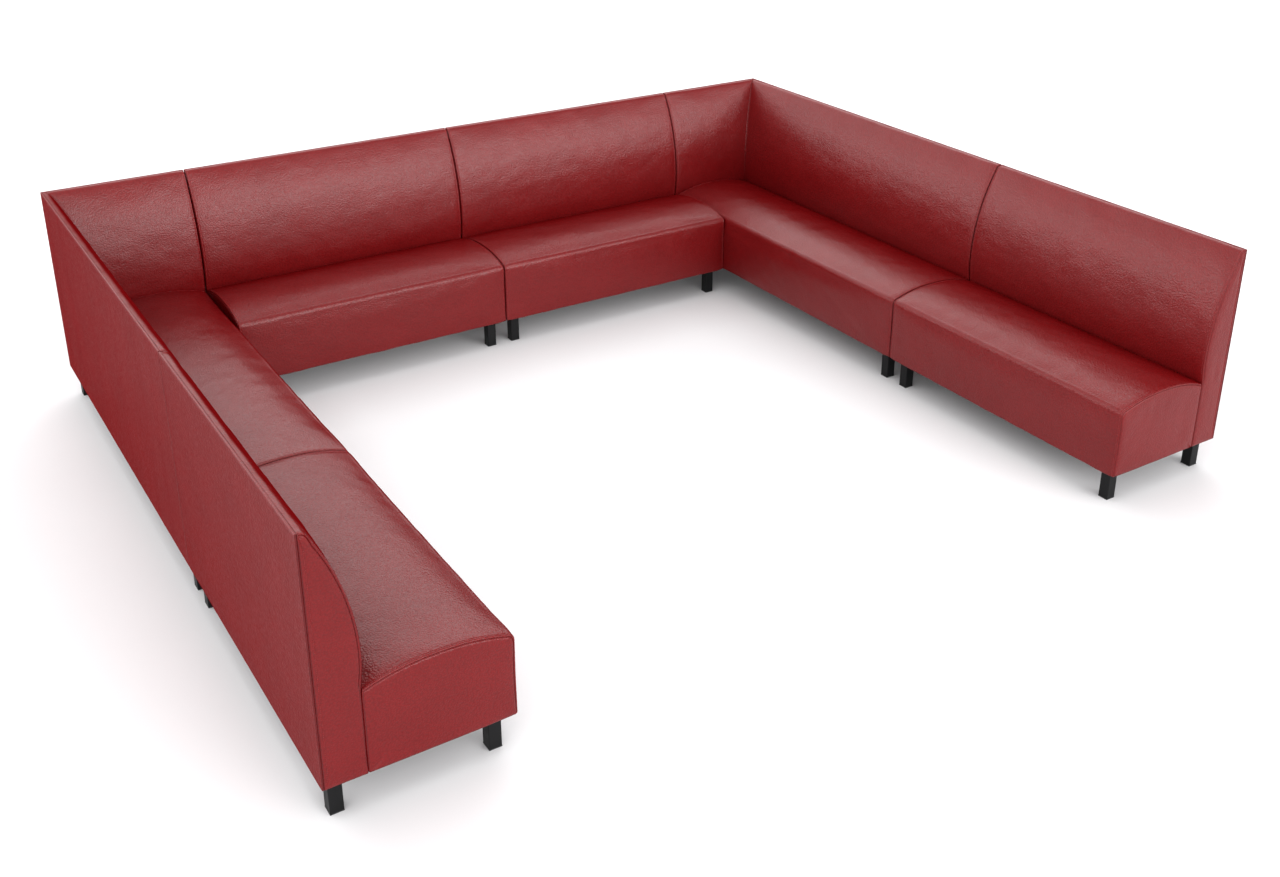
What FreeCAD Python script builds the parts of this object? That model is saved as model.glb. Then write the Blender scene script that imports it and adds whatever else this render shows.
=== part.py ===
import FreeCAD, Part
import math
import os
import re

import Sketcher

# U-shaped booth seating: six upholstered modules round a well that is open to the front.
# The frame's origin is on the floor at the middle of the plan, +Y towards the back row, +Z up.
# A module's own frame has X along its length, Y from its outer face to its front, Z up.
# Every length is in millimetres.
SIZES = {
    # the modules and how they stand
    "module_length": 1300,
    "corner_length": 1925,
    "module_depth": 615,
    "module_gap": 4,
    "overall_height": 965,
    "ground_clearance": 131,
    # the back's front curve
    "back_base_depth": 138,
    "back_belly": 11,
    "back_belly_above_seat": 114,
    "back_top_depth": 30,
    "back_top_drop": 8,
    "back_top_run": 14,
    "outer_panel_thickness": 8,
    "panel_round": 5,
    # the seat's crown
    "seat_edge_height": 416,
    "seat_crown_rise": 39,
    "seat_roll_depth": 27,
    "seat_roll_drop": 36,
    # upholstery
    "cover_thickness": 2,
    "fit_clearance": 0.3,
    "end_draw": 5,
    "end_draw_run": 14,
    "seat_side_padding": 15,
    "back_padding": 25,
    "back_top_padding": 46,
    "padding_below_seat": 76,
    # the seat's timber and straps
    "rail_thickness": 25,
    "seat_rail_height": 150,
    "leg_block_reach": 30,
    "leg_block_height": 60,
    "strap_width": 60,
    "strap_thickness": 2,
    # the back's timber
    "sole_thickness": 25,
    "rib_thickness": 18,
    "top_rail_height": 60,
    "middle_rail_height": 70,
    "middle_rail_lift": 60,
    "low_rail_height": 90,
    "low_rail_lift": 50,
    "corner_post_width": 45,
    # legs
    "leg_width": 44,
    "leg_wall": 2,
    "leg_top_plate": 4,
    "leg_rear_inset": 27,
    "leg_front_inset": 40,
    "leg_end_inset": 40,
    "glide_thickness": 4,
    "glide_plug": 15,
    "link_plate_thickness": 3,
    "dust_cover_thickness": 0.8,
    "dust_cover_margin": 8,
    # fasteners
    "bolt_radius": 4,
    "bolt_hole_clearance": 0.2,
    "bolt_head_radius": 6.5,
    "bolt_head_height": 5,
    "leg_bolt_reach": 35,
    "nut_radius": 6.5,
    "nut_height": 6.5,
    "bolt_end": 8,
    # how far a cutting shape runs past what it cuts
    "overrun": 1,
}

# How many of each repeated piece a module holds.
STRAIGHT_RIB_COUNT = 4
CORNER_RIB_COUNT = 5
RETURN_RIB_COUNT = 2
STRAIGHT_STRAP_COUNT = 9
CORNER_STRAP_COUNT = 13
LONG_STRAP_COUNT = 3
CROSS_RAIL_COUNT = 2

# Sizes that follow from the driving ones.
SEAT_REAR = "(back_base_depth + fit_clearance)"
INNER = "(cover_thickness + fit_clearance)"
CORE = "(cover_thickness + 2 * fit_clearance + back_padding)"
SEAT_PAD = "(cover_thickness + fit_clearance + seat_side_padding)"
BELLY_DEPTH = "(back_base_depth + back_belly)"
BELLY_HEIGHT = "(seat_edge_height + back_belly_above_seat)"
CURVE_TOP = "(overall_height - back_top_drop)"
FRAME_TOP = "(overall_height - back_top_padding)"
PADDING_START = "(seat_edge_height - padding_below_seat)"
CROWN_HEIGHT = "(seat_edge_height + seat_crown_rise)"
SOLE_TOP = "(ground_clearance + sole_thickness)"
RAIL_TOP = "(ground_clearance + seat_rail_height)"
TOTAL_WIDTH = "(2 * module_depth + 2 * module_length + 3 * module_gap)"
TOTAL_DEPTH = "(module_length + module_gap + corner_length)"
LEG_END = "(leg_end_inset + leg_width / 2)"
LEG_REAR = "(leg_rear_inset + leg_width / 2)"
LEG_FRONT = "(module_depth - leg_front_inset - leg_width / 2)"
LEG_PITCH = "(2 * leg_end_inset + leg_width + module_gap)"
PLATE_UNDER = "(ground_clearance - dust_cover_thickness - link_plate_thickness)"
HOLE_RADIUS = "(bolt_radius + bolt_hole_clearance)"
LOW_RAIL_FLOOR = "(ground_clearance + low_rail_lift)"
LOW_RAIL_MIDDLE = "(ground_clearance + low_rail_lift + low_rail_height / 2)"
LOW_RAIL_REAR = "(back_base_depth - cover_thickness - fit_clearance - rail_thickness)"

doc = FreeCAD.newDocument("booth")
sheet = doc.addObject("Spreadsheet::Sheet", "sizes")
for row, (word, value) in enumerate(SIZES.items(), start=1):
    sheet.set("A" + str(row), word)
    sheet.set("B" + str(row), str(value))
    sheet.setAlias("B" + str(row), word)
doc.recompute()

nodes = []


def sized(expression):
    """The expression with each size's name pointing at its cell."""
    return re.sub(r"[a-z_]+", lambda word: cell_of(word.group()), expression)


def cell_of(word):
    return "sizes." + word if word in SIZES else word


def measure(expression):
    """What an expression comes to with the sizes as they are."""
    found = sheet.evalExpression(sized(expression))
    return float(getattr(found, "Value", found))


def bind(thing, **properties):
    """Binds properties, with __ for a dot in the path, to expressions in the sizes."""
    for path, expression in properties.items():
        thing.setExpression(path.replace("__", "."), sized(expression))
    return thing


def place(thing, x="0", y="0", z="0", turn=0):
    """Places a piece, turned about the upright axis."""
    upright = FreeCAD.Vector(0, 0, 1)
    thing.Placement = FreeCAD.Placement(FreeCAD.Vector(), FreeCAD.Rotation(upright, turn))
    return bind(thing, Placement__Base__x=x, Placement__Base__y=y, Placement__Base__z=z)


def total(*lengths):
    """The sum of the lengths, as one expression."""
    return " + ".join("(" + length + ")" for length in lengths)


def box(low, size):
    """A rectangular block from its low corner and its size along X, Y and Z."""
    block = doc.addObject("Part::Box", "block")
    bind(block, Length=size[0], Width=size[1], Height=size[2])
    return place(block, *low)


def cylinder(low, radius, height, axis=FreeCAD.Vector(0, 0, 1)):
    """A round bar from the centre of its first end, along the axis."""
    bar = doc.addObject("Part::Cylinder", "bar")
    bind(bar, Radius=radius, Height=height)
    turned = FreeCAD.Rotation(FreeCAD.Vector(0, 0, 1), axis)
    bar.Placement = FreeCAD.Placement(FreeCAD.Vector(), turned)
    return bind(
        bar, Placement__Base__x=low[0], Placement__Base__y=low[1], Placement__Base__z=low[2]
    )


def group(pieces, label="group"):
    """Separate solids that stay separate, under one name."""
    compound = doc.addObject("Part::Compound", label)
    compound.Links = pieces
    return compound


def cut(base, tools):
    """A piece less the shapes that are cut from it."""
    if not tools:
        return base
    remainder = doc.addObject("Part::Cut", "cut")
    remainder.Base = base
    remainder.Tool = tools[0] if len(tools) == 1 else group(tools)
    return remainder


def fuse(pieces):
    """Shapes joined into one solid."""
    joined = doc.addObject("Part::MultiFuse", "joined")
    joined.Shapes = pieces
    return joined


def finish_node(label, piece):
    """Names a finished sub-part."""
    piece.Label = label
    nodes.append(piece)
    return piece


# Outlines

def vertical_tangent(across, up):
    """The radius of an arc that spans across and up and is upright at one end."""
    return "((({0})^2 + ({1})^2) / (2 * ({0})))".format(across, up)


def arc_between(start, end, radius, side):
    """A short arc, and which of its ends (1 first, 2 last) come at start and at end."""
    chord = end - start
    across = FreeCAD.Vector(-chord.y, chord.x, 0).normalize()
    reach = math.sqrt(max(radius ** 2 - (chord.Length / 2) ** 2, 0))
    centre = start + chord * 0.5 + across * (reach if side == "out" else -reach)
    first, last = (start, end) if side == "out" else (end, start)
    angles = [math.atan2(p.y - centre.y, p.x - centre.x) for p in (first, last)]
    circle = Part.Circle(centre, FreeCAD.Vector(0, 0, 1), radius)
    return Part.ArcOfCircle(circle, *angles), (1, 2) if side == "out" else (2, 1)


def outline(body, plane, corners, shift="0"):
    """A closed sketch on one of the body's own planes, run counter-clockwise.

    Each corner is (across, up), or (across, up, radius, side) where an arc leads to the
    next corner, standing out of the outline or in towards it.
    """
    sketch = body.newObject("Sketcher::SketchObject", "outline")
    planes = {origin.Role: origin for origin in body.Origin.OriginFeatures}
    sketch.AttachmentSupport = [(planes[plane], "")]
    sketch.MapMode = "FlatFace"
    bind(sketch, AttachmentOffset__Base__z=shift)
    spots = [FreeCAD.Vector(measure(c[0]), measure(c[1]), 0) for c in corners]
    edges, ends = [], []
    for number, corner in enumerate(corners):
        start, end = spots[number], spots[(number + 1) % len(spots)]
        if len(corner) == 2:
            edge, order = Part.LineSegment(start, end), (1, 2)
        else:
            edge, order = arc_between(start, end, measure(corner[2]), corner[3])
        edges.append(edge)
        ends.append((number, order))
    sketch.addGeometry(edges)
    held, driven = [], []
    for (edge, order), (following, next_order) in zip(ends, ends[1:] + ends[:1]):
        held.append(Sketcher.Constraint("Coincident", edge, order[1], following, next_order[0]))
    for (edge, order), corner, spot in zip(ends, corners, spots):
        for kind, axis, expression, value in (
            ("DistanceX", -2, corner[0], spot.x),
            ("DistanceY", -1, corner[1], spot.y),
        ):
            if expression == "0":
                held.append(Sketcher.Constraint("PointOnObject", edge, order[0], axis))
            else:
                driven.append((len(held), expression))
                held.append(Sketcher.Constraint(kind, -1, 1, edge, order[0], value))
        if len(corner) > 2:
            driven.append((len(held), corner[2]))
            held.append(Sketcher.Constraint("Radius", edge, measure(corner[2])))
    sketch.addConstraint(held)
    for number, expression in driven:
        sketch.setExpression("Constraints[%d]" % number, sized(expression))
    return sketch


def rectangle(low_across, low_up, high_across, high_up):
    """The corners of a rectangle, for an outline."""
    return [
        (low_across, low_up),
        (high_across, low_up),
        (high_across, high_up),
        (low_across, high_up),
    ]


def back_front_curve(inset, draw="0"):
    """The back's front from the seat's level up to its top edge, set in by inset and draw."""
    across = "({0} - back_top_depth)".format(BELLY_DEPTH)
    up = "({0} - {1})".format(CURVE_TOP, BELLY_HEIGHT)
    sweep = vertical_tangent(across, up)
    both = "({0} + {1})".format(inset, draw)
    top = "({0} - {1})".format(CURVE_TOP, both)
    top_depth = curve_depth(both, top)
    base = "(back_base_depth - {0})".format(inset)
    hip = vertical_tangent("(back_belly - {0})".format(draw), "back_belly_above_seat")
    shoulder = vertical_tangent("back_top_drop", "back_top_run")
    return [
        (base, "seat_edge_height", hip, "out"),
        ("{0} - {1}".format(BELLY_DEPTH, both), BELLY_HEIGHT, sweep, "out"),
        (top_depth, top, shoulder, "out"),
        ("{0} - back_top_run".format(top_depth), "overall_height - {0}".format(both)),
    ]


def curve_depth(inset, height):
    """How deep the back is at a height above its belly, less the inset."""
    across = "({0} - back_top_depth)".format(BELLY_DEPTH)
    up = "({0} - {1})".format(CURVE_TOP, BELLY_HEIGHT)
    sweep = vertical_tangent(across, up)
    return "({0} - {1} - {2} + sqrt(({2})^2 - ({3} - {4})^2))".format(
        BELLY_DEPTH, inset, sweep, height, BELLY_HEIGHT
    )


def hip_depth(height):
    """How deep the back is at a height between the seat's edge and its belly."""
    hip = vertical_tangent("back_belly", "back_belly_above_seat")
    return "({0} - {1} + sqrt(({1})^2 - ({2} - {3})^2))".format(
        BELLY_DEPTH, hip, BELLY_HEIGHT, height
    )


def back_section(inset, draw, rear, floor):
    """The whole section of the back, from its underside to its top."""
    front = back_front_curve(inset, draw)
    top = front[-1][1]
    base = front[0][0]
    return [(rear, floor), (base, floor)] + front + [(rear, top)]


def core_curve():
    """The front of the back's timber, under its padding, from low to high."""
    sweep = back_front_curve("0")[1][2]
    hip = vertical_tangent("back_belly", "back_belly_above_seat")
    return [
        ("back_base_depth - {0}".format(CORE), "seat_edge_height", hip, "out"),
        ("{0} - {1}".format(BELLY_DEPTH, CORE), BELLY_HEIGHT, sweep, "out"),
        (curve_depth(CORE, FRAME_TOP), FRAME_TOP),
    ]


def padding_section(draw):
    """The back's padding: over the front curve and the top, with the timber's shape inside."""
    inner = "({0} + back_padding)".format(INNER)
    outer = back_front_curve(INNER, draw)
    sweep = outer[1][2]
    hip = vertical_tangent("back_belly", "back_belly_above_seat")
    return (
        [("back_base_depth - {0}".format(INNER), PADDING_START)]
        + outer
        + [
            ("outer_panel_thickness", outer[-1][1]),
            ("outer_panel_thickness", FRAME_TOP),
            (curve_depth(inner, FRAME_TOP), FRAME_TOP, sweep, "in"),
            ("{0} - {1}".format(BELLY_DEPTH, inner), BELLY_HEIGHT, hip, "in"),
            ("back_base_depth - {0}".format(inner), "seat_edge_height"),
            ("back_base_depth - {0}".format(inner), PADDING_START),
        ]
    )


def rib_section():
    """A plywood rib: straight at the rear, cut to the curve at the front."""
    foot = "back_base_depth - {0}".format(INNER)
    return (
        [
            ("outer_panel_thickness", SOLE_TOP),
            (foot, SOLE_TOP),
            (foot, PADDING_START),
            ("back_base_depth - {0}".format(CORE), PADDING_START),
        ]
        + core_curve()
        + [("outer_panel_thickness", FRAME_TOP)]
    )


def seat_section(inset, draw, rear, floor):
    """The seat's section: an arched top that rolls over into an upright front."""
    chord = "(module_depth - {0})".format(SEAT_REAR)
    arch = "((({0} / 2)^2 + seat_crown_rise^2) / (2 * seat_crown_rise))".format(chord)
    both = "({0} + {1})".format(inset, draw)
    arch_end = "({0} - {1} + sqrt(({1})^2 - ({2} / 2 - seat_roll_depth)^2) - {3})".format(
        CROWN_HEIGHT, arch, chord, both
    )
    roll = vertical_tangent("seat_roll_depth", "seat_roll_drop")
    front = "module_depth - {0}".format(both)
    return [
        (rear, floor),
        (front, floor),
        (front, "{0} - seat_roll_drop".format(arch_end), roll, "out"),
        ("{0} - seat_roll_depth".format(front), arch_end, arch, "out"),
        (rear, "seat_edge_height - {0}".format(both)),
    ]


# Solids from outlines

def new_body():
    return doc.addObject("PartDesign::Body", "body")


def loft(body, kind, sections):
    """A ruled loft through (outline, place along X) pairs, added or taken away."""
    sketches = [outline(body, "YZ_Plane", corners, shift) for corners, shift in sections]
    feature = body.newObject("PartDesign::" + kind, "loft")
    feature.Profile = sketches[0]
    feature.Sections = sketches[1:]
    feature.Ruled = True
    return feature


def drawn_sections(section, low, high, inset, mitre):
    """Sections along a length whose free ends are drawn in; a mitred end runs straight out."""
    drawn = section("end_draw")
    full = section("0")
    sections = []
    if mitre == "low":
        sections.append((full, low))
    else:
        sections.append((drawn, total(low, inset)))
        sections.append((full, total(low, inset, "end_draw_run")))
    if mitre == "high":
        sections.append((full, high))
    else:
        sections.append((full, "{0} - {1} - end_draw_run".format(high, inset)))
        sections.append((drawn, "{0} - {1}".format(high, inset)))
    return sections


def pad(body, plane, corners, length, shift="0"):
    """Adds a prism of the outline."""
    feature = body.newObject("PartDesign::Pad", "pad")
    feature.Profile = outline(body, plane, corners, shift)
    return bind(feature, Length=length)


def pocket_up(body, corners, length, shift="0"):
    """Takes a prism away from a level upwards."""
    feature = body.newObject("PartDesign::Pocket", "pocket")
    feature.Profile = outline(body, "XY_Plane", corners, shift)
    feature.Reversed = True
    return bind(feature, Length=length)


def cut_mitre(body, low, high, mitre):
    """Cuts a back's corner end at 45 degrees from its outer corner."""
    if mitre == "high":
        far, near = high, "{0} - module_depth".format(high)
        corners = [(far, "0"), (far, "module_depth"), (near, "module_depth")]
    else:
        far, near = low, "{0} + module_depth".format(low)
        corners = [(far, "0"), (near, "module_depth"), (far, "module_depth")]
    if mitre:
        pocket_up(body, corners, "overall_height")


# Backs

def back_cover(low, high, mitre, bolts):
    """The leatherette wrap and end panels of a back, open behind and below."""
    body = new_body()
    loft(body, "AdditiveLoft", drawn_sections(
        lambda draw: back_section("0", draw, "outer_panel_thickness", "ground_clearance"),
        low, high, "0", mitre))
    loft(body, "SubtractiveLoft", drawn_sections(
        lambda draw: back_section(
            "cover_thickness",
            draw,
            "outer_panel_thickness - overrun",
            "ground_clearance - overrun",
        ),
        low, high, "cover_thickness", mitre))
    cut_mitre(body, low, high, mitre)
    holes = [bolt_hole(x, "back_base_depth - back_padding", "2 * back_padding") for x in bolts]
    return cut(body, holes)


def back_foam(low, high, mitre):
    """The padding on the front curve and the top."""
    body = new_body()
    loft(body, "AdditiveLoft", drawn_sections(padding_section, low, high, INNER, mitre))
    cut_mitre(body, low, high, mitre)
    return body


def outer_panel(low, high):
    """The flat upholstered panel that closes a back's outside, rounded along its top."""
    body = new_body()
    corners = [
        ("0", "ground_clearance"),
        ("outer_panel_thickness", "ground_clearance"),
        ("outer_panel_thickness", "overall_height"),
        ("panel_round", "overall_height", "panel_round", "out"),
        ("0", "overall_height - panel_round"),
    ]
    pad(body, "YZ_Plane", corners, "({0}) - ({1})".format(high, low), low)
    return body


def spaced(low, high, width, count, number):
    """Where copy number of count starts, the first at low and the last ending at high."""
    pitch = "((({1}) - ({0}) - ({2})) / {3})".format(low, high, width, count - 1)
    return "({0}) + {1} * {2}".format(low, number, pitch)


def bolt_hole(x, y, length):
    """The hole for a seat bolt, level, through the back's low rail."""
    return cylinder((x, y, LOW_RAIL_MIDDLE), HOLE_RADIUS, length, FreeCAD.Vector(0, 1, 0))


def leg_hole(x, y):
    """The hole for a leg's bolt, up from the underside and on past the bolt's end."""
    floor = "ground_clearance - overrun"
    return cylinder((x, y, floor), HOLE_RADIUS, "leg_bolt_reach + 2 * overrun")


def sole_board(low, high, legs):
    """The board that the ribs stand on and the rear legs bolt into."""
    depth = "back_base_depth - {0} - outer_panel_thickness".format(INNER)
    board = box(
        (low, "outer_panel_thickness", "ground_clearance"),
        ("({0}) - ({1})".format(high, low), depth, "sole_thickness"),
    )
    return cut(board, [leg_hole(x, y) for x, y in legs])


def rib_row(low, high, count, with_bolts):
    """Ribs from low to high and the rails between them, each its own piece."""
    pieces = []
    starts = [spaced(low, high, "rib_thickness", count, number) for number in range(count)]
    for start in starts:
        rib = new_body()
        pad(rib, "YZ_Plane", rib_section(), "rib_thickness", start)
        pieces.append(rib)
    for start, following in zip(starts, starts[1:]):
        first = "{0} + rib_thickness".format(start)
        length = "({0}) - ({1})".format(following, first)
        top_floor = "{0} - top_rail_height".format(FRAME_TOP)
        top_depth = "{0} - outer_panel_thickness".format(curve_depth(CORE, FRAME_TOP))
        pieces.append(box(
            (first, "outer_panel_thickness", top_floor),
            (length, top_depth, "top_rail_height")))
        pieces.append(box(
            (first, "outer_panel_thickness", "seat_edge_height + middle_rail_lift"),
            (length, "rail_thickness", "middle_rail_height")))
        low_rail = box(
            (first, LOW_RAIL_REAR, LOW_RAIL_FLOOR),
            (length, "rail_thickness", "low_rail_height"))
        if with_bolts:
            hole_start = "{0} - overrun".format(LOW_RAIL_REAR)
            hole = bolt_hole(between(start, following), hole_start, "2 * rail_thickness")
            low_rail = cut(low_rail, [hole])
        pieces.append(low_rail)
    return pieces


def between(start, following):
    """The middle of the bay between two ribs."""
    return "(({0}) + ({1}) + rib_thickness) / 2".format(start, following)


def bay_middles(low, high, count):
    """The middle of each bay of a row of ribs."""
    starts = [spaced(low, high, "rib_thickness", count, number) for number in range(count)]
    return [between(start, following) for start, following in zip(starts, starts[1:])]


def seat_bolt(x):
    """A bolt from inside the seat box, through both covers, with its nut behind the low rail."""
    shaft_start = "{0} - nut_height - bolt_end".format(LOW_RAIL_REAR)
    head_start = "{0} + rail_thickness".format(SEAT_REAR)
    along = FreeCAD.Vector(0, 1, 0)
    shaft = cylinder(
        (x, shaft_start, LOW_RAIL_MIDDLE),
        "bolt_radius",
        "{0} + bolt_head_height - ({1})".format(head_start, shaft_start),
        along,
    )
    head = cylinder(
        (x, head_start, LOW_RAIL_MIDDLE), "bolt_head_radius", "bolt_head_height", along
    )
    nut_start = "{0} - nut_height".format(LOW_RAIL_REAR)
    nut = cylinder((x, nut_start, LOW_RAIL_MIDDLE), "nut_radius", "nut_height", along)
    bore_start = "{0} - overrun".format(nut_start)
    bore = cylinder(
        (x, bore_start, LOW_RAIL_MIDDLE), "bolt_radius", "nut_height + 2 * overrun", along
    )
    return [fuse([shaft, head]), cut(nut, [bore])]


# Seats

def seat_cover(low, high):
    """The leatherette over a seat's top, front and ends, open behind and below."""
    body = new_body()
    loft(body, "AdditiveLoft", drawn_sections(
        lambda draw: seat_section("0", draw, SEAT_REAR, "ground_clearance"),
        low, high, "0", None))
    loft(body, "SubtractiveLoft", drawn_sections(
        lambda draw: seat_section(
            "cover_thickness",
            draw,
            "{0} - overrun".format(SEAT_REAR),
            "ground_clearance - overrun",
        ),
        low, high, "cover_thickness", None))
    return body


def seat_foam(low, high):
    """The crowned foam block, hollowed underneath to sit over the timber and straps."""
    body = new_body()
    loft(body, "AdditiveLoft", drawn_sections(
        lambda draw: seat_section(INNER, draw, SEAT_REAR, "ground_clearance"),
        low, high, INNER, None))
    hollow = rectangle(
        "({0}) + {1}".format(low, SEAT_PAD),
        "{0} - overrun".format(SEAT_REAR),
        "({0}) - {1}".format(high, SEAT_PAD),
        "module_depth - {0}".format(SEAT_PAD),
    )
    height = "seat_rail_height + 2 * strap_thickness + overrun"
    pocket_up(body, hollow, height, "ground_clearance - overrun")
    return body


def seat_frame(low, high, legs, bolts):
    """Front, rear, end and cross rails butted together, and a block over each front leg."""
    first, last = "(({0}) + {1})".format(low, SEAT_PAD), "(({0}) - {1})".format(high, SEAT_PAD)
    front = "(module_depth - {0})".format(SEAT_PAD)
    span = "{0} - {1}".format(last, first)
    inner_depth = "{0} - {1} - 2 * rail_thickness".format(front, SEAT_REAR)
    pieces = [box(
        (first, "{0} - rail_thickness".format(front), "ground_clearance"),
        (span, "rail_thickness", "seat_rail_height"))]
    rear = box((first, SEAT_REAR, "ground_clearance"), (span, "rail_thickness", "seat_rail_height"))
    hole_start = "{0} - overrun".format(SEAT_REAR)
    pieces.append(cut(rear, [
        bolt_hole(x, hole_start, "rail_thickness + 2 * overrun") for x in bolts]))
    for number in range(CROSS_RAIL_COUNT + 2):
        start = spaced(first, last, "rail_thickness", CROSS_RAIL_COUNT + 2, number)
        pieces.append(box(
            (start, "{0} + rail_thickness".format(SEAT_REAR), "ground_clearance"),
            ("rail_thickness", inner_depth, "seat_rail_height")))
    block_rear = "({0} - leg_block_reach)".format(LEG_FRONT)
    block_depth = "{0} - rail_thickness - {1}".format(front, block_rear)
    for x, y, side in legs:
        if side == "low":
            start = "({0} + rail_thickness)".format(first)
            width = "({0}) + leg_block_reach - {1}".format(x, start)
        else:
            start = "(({0}) - leg_block_reach)".format(x)
            width = "{0} - rail_thickness - {1}".format(last, start)
        block = box(
            (start, block_rear, "ground_clearance"), (width, block_depth, "leg_block_height"))
        pieces.append(cut(block, [leg_hole(x, y)]))
    return pieces


def seat_webbing(low, high, count):
    """Straps from front rail to rear rail, and long straps laid across them."""
    first, last = "(({0}) + {1})".format(low, SEAT_PAD), "(({0}) - {1})".format(high, SEAT_PAD)
    depth = "(module_depth - {0} - {1})".format(SEAT_PAD, SEAT_REAR)
    pieces = []
    edge = "rail_thickness"
    for number in range(count):
        start = spaced(
            total(first, edge), "{0} - {1}".format(last, edge), "strap_width", count, number)
        pieces.append(box((start, SEAT_REAR, RAIL_TOP), ("strap_width", depth, "strap_thickness")))
    for number in range(LONG_STRAP_COUNT):
        start = spaced(
            total(SEAT_REAR, edge),
            "module_depth - {0} - {1}".format(SEAT_PAD, edge),
            "strap_width",
            LONG_STRAP_COUNT,
            number,
        )
        pieces.append(box(
            (first, start, "{0} + strap_thickness".format(RAIL_TOP)),
            ("{0} - {1}".format(last, first), "strap_width", "strap_thickness")))
    return pieces


# Legs and what is fixed with them

def square_on(x, y, width):
    """The low corner of a square centred on a leg."""
    return "({0}) - ({1}) / 2".format(x, width), "({0}) - ({1}) / 2".format(y, width)


def leg(x, y):
    """A square steel tube, closed by a bored plate at its top."""
    height = "{0} - glide_thickness".format(PLATE_UNDER)
    hollow = "(leg_width - 2 * leg_wall)"
    tube = box(
        square_on(x, y, "leg_width") + ("glide_thickness",), ("leg_width", "leg_width", height))
    bore = box(
        square_on(x, y, hollow) + ("glide_thickness - overrun",),
        (hollow, hollow, "{0} - leg_top_plate + overrun".format(height)))
    hole = cylinder(
        (x, y, "{0} - leg_top_plate - overrun".format(PLATE_UNDER)),
        HOLE_RADIUS,
        "leg_top_plate + 2 * overrun",
    )
    return cut(tube, [bore, hole])


def glide(x, y):
    """A plastic glide: a flat foot, and a plug that fits up the tube."""
    plug = "(leg_width - 2 * leg_wall - 2 * fit_clearance)"
    foot = box(square_on(x, y, "leg_width") + ("0",), ("leg_width", "leg_width", "glide_thickness"))
    insert = box(
        square_on(x, y, plug) + ("glide_thickness / 2",),
        (plug, plug, "glide_plug + glide_thickness / 2"))
    return fuse([foot, insert])


def leg_bolt(x, y):
    """A bolt up through the leg's top plate into the timber."""
    seat = "{0} - leg_top_plate".format(PLATE_UNDER)
    head_start = "{0} - bolt_head_height".format(seat)
    head = cylinder((x, y, head_start), "bolt_head_radius", "bolt_head_height")
    top = "ground_clearance + leg_bolt_reach"
    shaft = cylinder((x, y, head_start), "bolt_radius", "{0} - ({1})".format(top, head_start))
    return fuse([head, shaft])


def spacer(x, y):
    """A square packing plate on a leg that no link plate reaches."""
    plate = box(
        square_on(x, y, "leg_width") + (PLATE_UNDER,),
        ("leg_width", "leg_width", "link_plate_thickness"))
    return cut(plate, [plate_hole(x, y)])


def plate_hole(x, y):
    """The bolt hole through a spacer or a link plate."""
    floor = "{0} - overrun".format(PLATE_UNDER)
    return cylinder((x, y, floor), HOLE_RADIUS, "link_plate_thickness + 2 * overrun")


def link_plate(x, y, way):
    """A flat plate over the two legs at a joint, from this module's leg to the next one's."""
    low_x, low_y = square_on(x, y, "leg_width")
    other = "({0}) + {1} * {2}".format(x, way, LEG_PITCH)
    if way < 0:
        low_x = "{0} - {1}".format(low_x, LEG_PITCH)
    plate = box(
        (low_x, low_y, PLATE_UNDER),
        ("{0} + leg_width".format(LEG_PITCH), "leg_width", "link_plate_thickness"))
    return cut(plate, [plate_hole(x, y), plate_hole(other, y)])


def dust_cover(low, high, legs):
    """The cloth under a module, pierced for the leg bolts."""
    cloth = box(
        (total(low, "dust_cover_margin"), "dust_cover_margin",
         "ground_clearance - dust_cover_thickness"),
        ("({0}) - ({1}) - 2 * dust_cover_margin".format(high, low),
         "module_depth - 2 * dust_cover_margin",
         "dust_cover_thickness"))
    floor = "ground_clearance - 2 * dust_cover_thickness"
    holes = [cylinder((x, y, floor), HOLE_RADIUS, "3 * dust_cover_thickness") for x, y in legs]
    return cut(cloth, holes)


# Modules

fixings = {
    "leg_glides": [],
    "leg_bolts": [],
    "link_plates": [],
    "leg_spacers": [],
    "dust_covers": [],
    "seat_fixings": [],
}


def stand(pieces, label, where, node=False):
    """Groups a module's pieces and stands them where the module stands."""
    standing = pieces[0] if len(pieces) == 1 else group(pieces)
    place(standing, where["x"], where["y"], "0", where["turn"])
    return finish_node(label, standing) if node else standing


def add_legs(name, where, legs, spaced_legs, links, low, high, bolts):
    """A module's legs as its own node, and its share of the fixings."""
    stand([leg(x, y) for x, y in legs], name + "_legs", where, node=True)
    fixings["leg_glides"].append(stand([glide(x, y) for x, y in legs], "glides", where))
    fixings["leg_bolts"].append(stand([leg_bolt(x, y) for x, y in legs], "bolts", where))
    fixings["dust_covers"].append(stand([dust_cover(low, high, legs)], "cloth", where))
    seat_bolts = [piece for x in bolts for piece in seat_bolt(x)]
    fixings["seat_fixings"].append(stand(seat_bolts, "seat_bolts", where))
    if spaced_legs:
        packers = [spacer(x, y) for x, y in spaced_legs]
        fixings["leg_spacers"].append(stand(packers, "packers", where))
    if links:
        plates = [link_plate(x, y, way) for x, y, way in links]
        fixings["link_plates"].append(stand(plates, "plates", where))


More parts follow.
